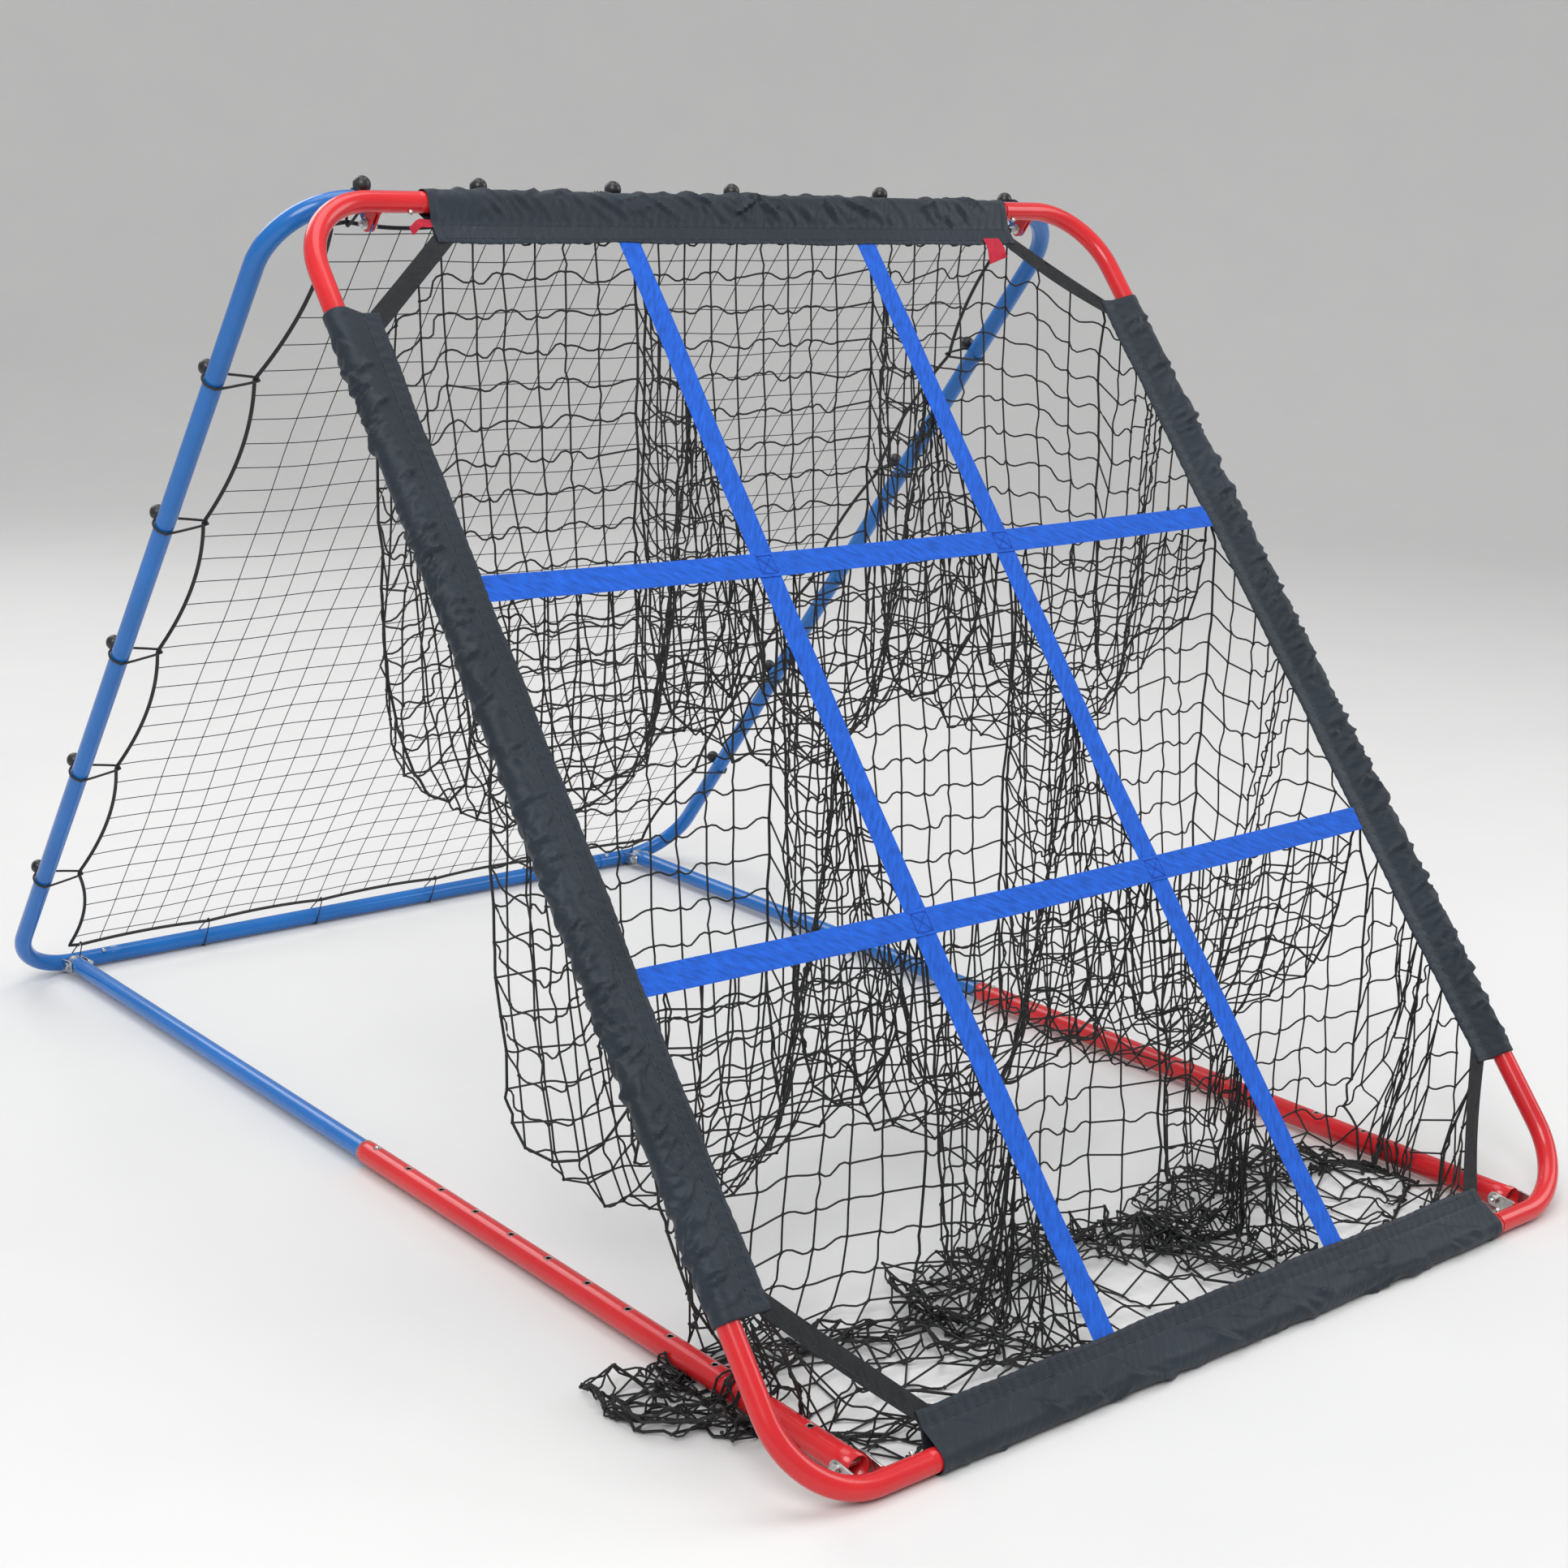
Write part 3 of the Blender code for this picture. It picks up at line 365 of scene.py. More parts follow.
def carried(paths: Array, profile: Array, guide: Array, closed: bool = False,
            scale: Array | None = None) -> Skin:
    """A profile carried along paths: point = path + scale * (first * across + second * normal).

    Args:
        paths: lines of equal point count, (count, m, 3).
        profile: an anticlockwise outline, (k, 2).
        guide: a direction that no path runs along; across is square to it.
        closed: whether each path runs round to its start.
        scale: the profile's size at each point of a path.

    Returns:
        Closed skins, with caps on open paths; u runs along a path and v round the profile, in metres.
    """
    count, rows = paths.shape[:2]
    across, normal = rails_of(paths, guide, closed)
    size = np.ones(rows) if scale is None else scale
    spread = profile[:, 0, None] * across[:, :, None] + profile[:, 1, None] * normal[:, :, None]
    rings = paths[:, :, None] + size[:, None, None] * spread
    line = np.concatenate([paths[0], paths[0, :1]]) if closed else paths[0]
    around = run_of(np.concatenate([profile, profile[:1]]))
    skin = grid_skin(rings, closed, True, run_of(line), around)
    return skin if closed else capped(skin, count, rows, len(profile))


def hollow(path: Array, radii: Array, wall: float, guide: Array, sides: int = 32) -> Skin:
    """A tube with a wall: rings run out along the path at the radii, and back at the radii less the wall.

    Args:
        path: the tube's centre line.
        radii: its outer radius at each point of the path.
        wall: its thickness.
        guide: a direction that the path doesn't run along.
        sides: points round it.

    Returns:
        The closed skin.
    """
    across, normal = (d[0] for d in rails_of(path[None], guide, False))
    ring = circle(1.0, sides)
    spread = ring[:, 0, None] * across[:, None] + ring[:, 1, None] * normal[:, None]
    outside = path[:, None] + radii[:, None, None] * spread
    inside = path[:, None] + (radii - wall)[:, None, None] * spread
    rows = np.concatenate([outside, inside[::-1]])[None]
    along = run_of(path)
    u = np.concatenate([along, along[::-1], [0.0]])
    return grid_skin(rows, True, True, u, np.arange(sides + 1) / sides)


def turned(stations: Array, radii: Array, foot: Array, axis: Array) -> Skin:
    """A solid turned about an axis: point = foot + station * axis + radius at its angle, with flat ends.

    Args:
        stations: distances along the axis, (k,).
        radii: the radius at each station, (k, 1), or at each station and angle, (k, n).
        foot: the point at station zero.
        axis: the direction of the axis.

    Returns:
        The closed skin.
    """
    sides = max(radii.shape[1], 24)
    axis = unit(np.asarray(axis, float))
    radii = np.broadcast_to(radii, (len(stations), sides))
    rings = foot + stations[:, None, None] * axis + radii[..., None] * spokes(axis, sides)
    return capped(grid_skin(rings[None], False, True), 1, len(stations), sides)


def beads(places: Array, radius: float, sides: int = 5) -> Skin:
    """Small knots: a short barrel at each place."""
    reach = np.array((-0.75, 0.0, 0.75))[:, None] * radius * np.array((0.25, 0.2, 0.95))
    return carried(places[:, None] + reach, circle(radius, sides), X_AXIS, scale=np.array((0.55, 1.0, 0.55)))


def stitches(line: Array, normal: Array, pitch: float, radius: float = 0.0005) -> Skin:
    """A sewn row along a line: low bridges of thread, each two thirds of the pitch long.

    Args:
        line: points of the seam.
        normal: the direction that the thread stands up in.
        pitch: the length from stitch to stitch.
        radius: half the thread's thickness.

    Returns:
        The skin of all the stitches.
    """
    run = run_of(line)
    count = max(int(run[-1] / pitch), 1)
    at = (np.arange(count)[:, None] + np.array((0.17, 0.5, 0.83))) * run[-1] / count
    path = np.stack([np.interp(at, run, line[:, k]) for k in range(3)], axis=-1)
    path = path + np.array((0.0, STITCH_LIFT, 0.0))[None, :, None] * normal
    return carried(path, circle(radius, 4), normal)


# Finishes

class Slot(Enum):
    """Material slots of the object."""

    RED_PAINT = "red_paint"
    BLUE_PAINT = "blue_paint"
    ZINC = "zinc"
    COVER_CLOTH = "cover_cloth"
    BLUE_WEBBING = "blue_webbing"
    BLACK_WEBBING = "black_webbing"
    RED_TAPE = "red_tape"
    BLACK_NET = "black_net"
    BLACK_RUBBER = "black_rubber"


class Wire:
    """A shader socket in an expression: arithmetic on it adds Math nodes."""

    def __init__(self, bench: "Bench", socket: bpy.types.NodeSocket) -> None:
        """Hold a socket and the bench that its nodes go on."""
        self.bench = bench
        self.socket = socket

    def math(self, operation: str, first: object, second: object = 0.0) -> "Wire":
        """One Math node on two values."""
        return self.bench.node("ShaderNodeMath", {"operation": operation}, {0: first, 1: second})

    def __add__(self, other: object) -> "Wire":
        """Sum."""
        return self.math("ADD", self, other)

    def __sub__(self, other: object) -> "Wire":
        """Difference."""
        return self.math("SUBTRACT", self, other)

    def __mul__(self, other: object) -> "Wire":
        """Product."""
        return self.math("MULTIPLY", self, other)

    def sine(self) -> "Wire":
        """Sine of the value in radians."""
        return self.math("SINE", self)

    def over(self, low: float, high: float) -> "Wire":
        """A share from 0 at low to 1 at high, held between them."""
        return self.bench.node("ShaderNodeMapRange", {"clamp": True}, {0: self, 1: low, 2: high})


class Bench:
    """Builds the node tree of one material."""

    def __init__(self, name: str) -> None:
        """Start a material with an empty tree."""
        self.material = bpy.data.materials.new(name)
        self.material.use_nodes = True
        self.tree = self.material.node_tree
        self.tree.nodes.clear()

    def feed(self, socket: bpy.types.NodeSocket, value: object) -> None:
        """Link a wire to a socket, or set the socket's own value."""
        if isinstance(value, Wire):
            self.tree.links.new(value.socket, socket)
        else:
            socket.default_value = value

    def node(self, kind: str, settings: dict | None = None, inputs: dict | None = None,
             out: int | str = 0) -> Wire:
        """Any node.

        Args:
            kind: the node's type.
            settings: its properties.
            inputs: values or wires by socket name or number.
            out: the output that is wanted.

        Returns:
            The output's wire.
        """
        made = self.tree.nodes.new(kind)
        for key, value in (settings or {}).items():
            setattr(made, key, value)
        for key, value in (inputs or {}).items():
            self.feed(made.inputs[key], value)
        return Wire(self, made.outputs[out])

    def object_place(self) -> Wire:
        """Object coordinates."""
        return self.node("ShaderNodeTexCoord", out="Object")

    def cloth_place(self) -> tuple[Wire, Wire]:
        """The uv map's two values: along a piece and round it, in metres."""
        place = self.node("ShaderNodeUVMap", {"uv_map": "UVMap"})
        return tuple(self.node("ShaderNodeSeparateXYZ", None, {0: place}, k) for k in (0, 1))

    def place(self, first: Wire, second: Wire) -> Wire:
        """A place made of two values."""
        return self.node("ShaderNodeCombineXYZ", None, {0: first, 1: second})

    def noise(self, scale: float, detail: float = 2.0, place: Wire | None = None) -> Wire:
        """A noise value on object coordinates or on a given place."""
        place = self.object_place() if place is None else place
        return self.node("ShaderNodeTexNoise", None, {"Vector": place, "Scale": scale, "Detail": detail})

    def mix(self, share: object, first: object, second: object) -> Wire:
        """A colour between two colours."""
        return self.node("ShaderNodeMix", {"data_type": "RGBA"}, {0: share, 6: first, 7: second}, 2)

    def bump(self, height: Wire, strength: float, distance: float, under: Wire | None = None) -> Wire:
        """A bumped normal, on top of another one if that is given."""
        inputs = {"Height": height, "Strength": strength, "Distance": distance}
        if under is not None:
            inputs["Normal"] = under
        return self.node("ShaderNodeBump", None, inputs)

    def surface(self, inputs: dict) -> bpy.types.Material:
        """Finish the material with a Principled shader."""
        shader = self.node("ShaderNodeBsdfPrincipled", None, inputs)
        end = self.tree.nodes.new("ShaderNodeOutputMaterial")
        self.feed(end.inputs["Surface"], shader)
        return self.material


def tint(colour: tuple, share: float) -> tuple:
    """A colour made lighter or darker, as a socket's four values."""
    return (*[min(1.0, c * share) for c in colour], 1.0)


@dataclass(frozen=True)
class Paint:
    """Baked enamel on steel tube: slight mottling, orange peel, and bare metal where it is worn."""

    name: str
    slot: Slot
    colour: tuple

    def material(self) -> bpy.types.Material:
        """The finish as a material.

        Returns:
            The material.
        """
        bench = Bench(self.name)
        mottle = bench.noise(7.0, 4.0).over(0.3, 0.7)
        coat = bench.mix(mottle, tint(self.colour, 0.88), tint(self.colour, 1.08))
        worn = bench.node("ShaderNodeAttribute", {"attribute_name": "wear"}, None, "Fac")
        bare = (worn + bench.noise(420.0, 3.0) * 0.9 - 0.9).over(0.12, 0.30)
        scuff = bench.noise(95.0, 6.0).over(0.70, 0.78) * 0.22
        base = bench.mix(scuff, coat, tint(self.colour, 1.5))
        base = bench.mix(bare, base, (0.42, 0.40, 0.38, 1.0))
        peel = bench.noise(520.0, 1.0)
        return bench.surface({
            "Base Color": base, "Metallic": bare * 0.9,
            "Roughness": bench.noise(40.0, 3.0) * 0.12 + 0.17 + bare * 0.15, "Specular IOR Level": 0.4,
            "Coat Weight": 0.2, "Coat Roughness": 0.08, "Normal": bench.bump(peel, 0.05, 0.0005)})


@dataclass(frozen=True)
class Zinc:
    """Bright zinc plating with a faint spangle and tool marks."""

    name: str = "zinc_plating"
    slot: Slot = Slot.ZINC

    def material(self) -> bpy.types.Material:
        """The finish as a material.

        Returns:
            The material.
        """
        bench = Bench(self.name)
        spangle = bench.node("ShaderNodeTexVoronoi", {"feature": "F1"},
                             {"Vector": bench.object_place(), "Scale": 260.0}, "Distance")
        haze = bench.noise(90.0, 5.0)
        base = bench.mix(haze.over(0.35, 0.7), (0.50, 0.50, 0.50, 1.0), (0.72, 0.72, 0.70, 1.0))
        return bench.surface({"Base Color": base, "Metallic": 1.0, "Roughness": spangle * 0.16 + 0.22,
                              "Normal": bench.bump(haze, 0.08, 0.0004)})


@dataclass(frozen=True)
class CoverCloth:
    """Coated nylon of the border covers: a fine square weave, a dull shine and a little dust."""

    name: str = "cover_nylon"
    slot: Slot = Slot.COVER_CLOTH
    colour: tuple = (0.0145, 0.0215, 0.0305)
    thread: float = 0.0011

    def material(self) -> bpy.types.Material:
        """The finish as a material.

        Returns:
            The material.
        """
        bench = Bench(self.name)
        along, round_it = bench.cloth_place()
        pace = 2 * math.pi / self.thread
        weave = (along * pace).sine() * (round_it * pace).sine()
        dust = bench.noise(5.0, 5.0).over(0.35, 0.75)
        slanted = bench.place(along * 95.0 + round_it * 60.0, round_it * 24.0 - along * 16.0)
        crease = bench.noise(1.0, 4.0, slanted)
        base = bench.mix(dust, tint(self.colour, 0.80), tint(self.colour, 1.45))
        base = bench.mix((weave * 0.5 + 0.5) * 0.22, base, tint(self.colour, 2.2))
        soft = bench.bump(crease, 0.45, 0.004, bench.bump(weave, 0.12, 0.0003))
        return bench.surface({"Base Color": base, "Roughness": crease * 0.22 + 0.40, "Normal": soft,
                              "Specular IOR Level": 0.28, "Sheen Weight": 0.04, "Sheen Roughness": 0.45})


@dataclass(frozen=True)
class Webbing:
    """Woven strap: slanting ribs across it, yarn grain, and long slanting streaks of lighter yarn."""

    name: str
    slot: Slot
    colour: tuple
    light: float = 1.45
    rib: float = 0.0034

    def material(self) -> bpy.types.Material:
        """The finish as a material.

        Returns:
            The material.
        """
        bench = Bench(self.name)
        along, round_it = bench.cloth_place()
        pace = 2 * math.pi / self.rib
        ribs = ((along + round_it * 0.6) * pace).sine() * 0.5 + 0.5
        yarn = ((along - round_it * 1.2) * (pace * 2.6)).sine() * 0.5 + 0.5
        grain = bench.noise(330.0, 3.0)
        patch = bench.noise(14.0, 3.0)
        slanted = bench.place(along * 35.0 + round_it * 22.0, round_it * 170.0 - along * 105.0)
        streak = bench.noise(1.0, 3.0, slanted).over(0.32, 0.68)
        tone = ribs * 0.18 + yarn * 0.12 + grain * 0.25 + streak * 0.62 - 0.09
        base = bench.mix(tone.over(0.0, 1.0), tint(self.colour, 0.62), tint(self.colour, self.light))
        base = bench.mix(patch.over(0.4, 0.8) * 0.35, base, tint(self.colour, 1.15))
        height = ribs * 0.7 + yarn * 0.3 + grain * 0.5
        return bench.surface({"Base Color": base, "Roughness": grain * 0.2 + 0.62,
                              "Normal": bench.bump(height, 0.55, 0.0007),
                              "Specular IOR Level": 0.3})


@dataclass(frozen=True)
class Twine:
    """Twisted net twine or braided elastic: slanting lay bumps and a dull black with lighter fibres."""

    name: str
    slot: Slot
    colour: tuple
    lay: float = 0.0045
    roughness: float = 0.55

    def material(self) -> bpy.types.Material:
        """The finish as a material.

        Returns:
            The material.
        """
        bench = Bench(self.name)
        along, round_it = bench.cloth_place()
        twist = ((along + round_it * 0.9) * (2 * math.pi / self.lay)).sine() * 0.5 + 0.5
        fibre = bench.noise(240.0, 3.0)
        base = bench.mix(twist * 0.5 + fibre * 0.4, tint(self.colour, 0.6), tint(self.colour, 1.8))
        return bench.surface({"Base Color": base, "Roughness": fibre * 0.2 + self.roughness,
                              "Normal": bench.bump(twist, 0.5, 0.0006)})


@dataclass(frozen=True)
class Rubber:
    """Moulded black ball: satin, with a fine grain and dusty high spots."""

    name: str = "moulded_black"
    slot: Slot = Slot.BLACK_RUBBER
    colour: tuple = (0.014, 0.014, 0.016)

    def material(self) -> bpy.types.Material:
        """The finish as a material.

        Returns:
            The material.
        """
        bench = Bench(self.name)
        grain = bench.noise(700.0, 3.0)
        dust = bench.noise(60.0, 4.0).over(0.45, 0.8) * 0.5
        base = bench.mix(dust, tint(self.colour, 1.0), (0.05, 0.05, 0.055, 1.0))
        return bench.surface({"Base Color": base, "Roughness": dust * 0.3 + 0.34,
                              "Normal": bench.bump(grain, 0.12, 0.0003)})


Finish = Paint | Zinc | CoverCloth | Webbing | Twine | Rubber

RED_ENAMEL = Paint("red_enamel", Slot.RED_PAINT, (0.64, 0.018, 0.024))
BLUE_ENAMEL = Paint("blue_enamel", Slot.BLUE_PAINT, (0.010, 0.150, 0.50))
PLATING = Zinc()
COVER = CoverCloth()
BLUE_STRAP = Webbing("blue_strap", Slot.BLUE_WEBBING, (0.008, 0.092, 0.51), 1.6)
BLACK_STRAP = Webbing("black_strap", Slot.BLACK_WEBBING, (0.013, 0.014, 0.016), 1.9)
RED_RIBBON = Webbing("red_ribbon", Slot.RED_TAPE, (0.52, 0.018, 0.045), 1.3, 0.0018)
NET_TWINE = Twine("net_twine", Slot.BLACK_NET, (0.007, 0.0075, 0.008))
FINE_TWINE = Twine("fine_twine", Slot.BLACK_NET, (0.030, 0.032, 0.034), 0.003)
EDGE_ROPE = Twine("edge_rope", Slot.BLACK_RUBBER, (0.012, 0.012, 0.014), 0.008)
ELASTIC = Twine("braided_elastic", Slot.BLACK_RUBBER, (0.013, 0.013, 0.015), 0.004, 0.5)
BALL = Rubber()
COVER_THREAD = Twine("cover_thread", Slot.COVER_CLOTH, (0.045, 0.048, 0.055), 0.002)
BLUE_THREAD = Twine("blue_thread", Slot.BLUE_WEBBING, (0.006, 0.040, 0.36), 0.002)


class Workshop:
    """Puts finished skins into the scene and ties them to the frame."""

    def __init__(self, frame: dict) -> None:
        """Keep the frame's nodes, and a store of the materials made so far."""
        self.nodes = frame["nodes"]
        self.materials: dict[str, bpy.types.Material] = {}

    def material(self, finish: Finish) -> bpy.types.Material:
        """A finish's material, made once."""
        if finish.name not in self.materials:
            self.materials[finish.name] = finish.material()
        return self.materials[finish.name]

    def add(self, name: str, skin: Skin, finish: Finish, node: str, wall: float = 0.0,
            fold: tuple | None = None, stands: bool = True) -> bpy.types.Object:
        """One piece of the object.

        Args:
            name: the piece's name.
            skin: its surface, in place.
            finish: its finish.
            node: the solid whose body it rides on.
            wall: a thickness to give the surface, inwards.
            fold: two bodies and the start and end of a bend between them; when it is given, the piece is kept
                where it stands and tied to no body.
            stands: whether it stands for the solid.

        Returns:
            The piece's object.
        """
        mesh = skin.mesh(name)
        mesh.materials.append(self.material(finish))
        piece = bpy.data.objects.new(name, mesh)
        bpy.context.scene.collection.objects.link(piece)
        if wall:
            shell = piece.modifiers.new("wall", "SOLIDIFY")
            shell.thickness = wall
            shell.offset = -1.0
        if fold:
            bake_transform(piece)
        else:
            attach(piece, self.nodes[node]["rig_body"])
        if stands:
            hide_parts(node)
        LOG.info("%s: %d points, %s", name, len(skin.points), finish.name)
        return piece


# Tube frames and base

def lug(x: float, root: Array, pivot: Array, thickness: float, half: float = 0.011,
        bore_r: float = 0.0044, bevel: float = 0.0006, sunk: float = 0.0085) -> Skin:
    """A flat lug about a pivot hole: round the pivot, straight sided towards its tube, with broken edges.

    The rim's distance from the pivot is the half width, or on the tube's side the nearer of the straight side
    and the root.

    Args:
        x: the middle of the plate's thickness.
        root: the centre of the tube that it stands on, at x = 0.
        pivot: the hole's centre, at x = 0.
        thickness: the plate's thickness.
        half: half the plate's width.
        bore_r: the hole's radius.
        bevel: how far the edges are broken.
        sunk: how far from the tube's centre the plate ends.

    Returns:
        The closed skin.
    """
    reach = np.linalg.norm(root - pivot) - sunk
    toward = unit(root - pivot)
    away = np.cross(X_AXIS, toward)
    turn = angles(72) + 0.01
    side = half / np.maximum(np.abs(np.sin(turn)), 1e-6)
    end = reach / np.maximum(np.cos(turn), 1e-6)
    rim = np.where(np.cos(turn) > 0, np.minimum(side, end), half)
    bore = np.full_like(rim, bore_r)
    h = thickness / 2
    edge = rim - bevel
    loop = ((bore, h), (edge, h), (rim, h - bevel), (rim, bevel - h), (edge, -h), (bore, -h))
    radial = np.cos(turn)[:, None] * toward + np.sin(turn)[:, None] * away
    rows = np.stack([pivot + r[:, None] * radial + (x + off) * X_AXIS for r, off in loop], axis=1)
    return grid_skin(rows[None], True, True)


@dataclass
class TubeFrame:
    """One leaning frame: two rails, four corner tubes with their lugs, and the joint screws."""

    label: str
    slope: Slope
    finish: Paint
    hinge_offsets: tuple
    base_clear: float
    lug_thickness: float = 0.003
    weld_half: float = 0.0115
    weld_r: float = 0.0016
    weld_lift: float = 0.0006
    screw_inset: float = 0.016

    def rail(self, up: float) -> Skin:
        """A straight rail whose narrowed ends plug into the corner tubes."""
        half = np.array((SEAM_X + SPIGOT_LENGTH, SEAM_X + 0.0005, SEAM_X - 0.0025, SEAM_X - 0.02))
        x = np.concatenate([-half, np.linspace(-0.5, 0.5, 9), half[::-1]])
        radii = np.where(np.abs(x) > SEAM_X, SPIGOT_R, TUBE_R)
        return hollow(self.slope.place(x, up), radii, TUBE_WALL, self.slope.normal)

    def corner(self, side: float, top: bool) -> Skin:
        """A bent tube from a rail's seam to the middle of a side; the lower one plugs into the upper.

        Args:
            side: -1 left, 1 right.
            top: whether it is an upper corner.

        Returns:
            The tube.
        """
        rail_up = FRAME_LENGTH if top else 0.0
        away = -1.0 if top else 1.0
        turn = np.linspace(-away * np.pi / 2, 0.0, 19)
        bend_x = HALF_WIDTH - BEND_RADIUS + BEND_RADIUS * np.cos(turn)
        bend_up = rail_up + away * BEND_RADIUS + BEND_RADIUS * np.sin(turn)
        middle = FRAME_LENGTH / 2
        end = np.array((0.3, 0.05, 0.003, -0.0003)) * -away + middle
        x = np.concatenate([[SEAM_X, SEAM_X + 0.03], bend_x, np.full(4, HALF_WIDTH)])
        up = np.concatenate([[rail_up, rail_up], bend_up, end])
        radii = np.full(len(x), TUBE_R)
        if not top:
            x = np.append(x, (HALF_WIDTH, HALF_WIDTH))
            up = np.append(up, (middle + 0.0005, middle + SPIGOT_LENGTH))
            radii = np.append(radii, (SPIGOT_R, SPIGOT_R))
        return hollow(self.slope.place(side * x, up), radii, TUBE_WALL, self.slope.normal)

    def lug_places(self, side: float, top: bool) -> tuple[Array, Array, list[float]]:
        """Where a corner's lugs stand.

        Args:
            side: -1 left, 1 right.
            top: whether it is an upper corner.

        Returns:
            The tube's and the pivot's centres, and the x of each lug's middle.
        """
        if top:
            pivot = np.array((0.0, 0.0, HINGE_Z))
            middles = [side * HINGE_X + off for off in self.hinge_offsets]
            return self.slope.place(0.0, FRAME_LENGTH), pivot, middles
        pivot = np.array((0.0, self.slope.sign * PIVOT_Y, PIVOT_Z))
        off = self.base_clear + self.lug_thickness / 2
        return self.slope.place(0.0, 0.0), pivot, [side * BASE_X - off, side * BASE_X + off]

    def lugs(self, side: float, top: bool) -> Skin:
        """The hinge lug or lugs of a top corner, or the pair that holds a base tube."""
        root, pivot, middles = self.lug_places(side, top)
        return Skin.joined([lug(x, root, pivot, self.lug_thickness) for x in middles])

    def welds(self, side: float, top: bool) -> Skin:
        """Weld beads where the lugs stand on the tube: short lumpy rods across each lug's two faces.

        Args:
            side: -1 left, 1 right.
            top: whether it is an upper corner.

        Returns:
            The beads.
        """
        root, pivot, middles = self.lug_places(side, top)
        toward = unit(pivot - root)
        width = np.cross(X_AXIS, toward)
        s = np.linspace(-self.weld_half, self.weld_half, 13)
        drop = np.sqrt(np.maximum((TUBE_R + self.weld_lift) ** 2 - s**2, 0.0))
        line = root + s[:, None] * width + drop[:, None] * toward
        paths = [line + (x + k * self.lug_thickness / 2) * X_AXIS for x in middles for k in (-1, 1)]
        lumps = 1.0 + 0.18 * np.sin(np.arange(len(s)) * 2.1)
        lumps[[0, -1]] = 0.35
        return carried(np.stack(paths), circle(self.weld_r, 8), toward, scale=lumps)

    def screw(self, side: float, top: bool) -> Skin:
        """A pan head screw on the frame's inner side: a dome with a cross cut in it.

        Args:
            side: -1 left, 1 right.
            top: whether it is an upper corner.

        Returns:
            The screw.
        """
        up = FRAME_LENGTH if top else 0.0
        axis = self.slope.rise * (-1.0 if top else 1.0)
        foot = self.slope.place(side * (SEAM_X + self.screw_inset), up)
        angle = angles(48)
        rim = np.array((0.0022, 0.0022, 0.0037, 0.00375, 0.0034, 0.0026, 0.0018, 0.0010, 0.0003))
        tall = np.array((0.0, 0.0155, 0.0155, 0.0180, 0.0194, 0.0200, 0.0202, 0.0203, 0.0203))
        slot_half, slot_edge, slot_r, slot_depth = 0.0011, 0.0004, 0.0024, 0.0014
        arm = np.abs(np.sin(2 * angle))[None, :] * rim[:, None]
        crown = ((rim < slot_r) & (tall > 0.019))[:, None]
        sunk = np.clip((slot_half - arm) / slot_edge, 0.0, 1.0) * crown
        rise = tall[:, None] - slot_depth * sunk
        rows = foot + rise[..., None] * axis + rim[:, None, None] * spokes(axis, len(angle))
        return capped(grid_skin(rows[None], False, True), 1, len(rim), len(angle))

    def build(self, shop: Workshop) -> None:
        """Make every piece of the frame.

        Args:
            shop: where the pieces are added.
        """
        for level, up in (("top", FRAME_LENGTH), ("bottom", 0.0)):
            node = f"{self.label}_{level}_rail"
            shop.add(f"{node}_tube", self.rail(up), self.finish, node)
            for name, side in SIDES:
                top = level == "top"
                node = f"{self.label}_corner_{level}_{name}"
                body = Skin.joined([self.corner(side, top), self.welds(side, top)])
                shop.add(f"{node}_tube", body, self.finish, node)
                plate = self.finish if top else PLATING
                shop.add(f"{node}_lugs", self.lugs(side, top), plate, node, stands=False)
                node = f"{self.label}_screw_{level}_{name}"
                shop.add(f"{node}_pan", self.screw(side, top), PLATING, node)


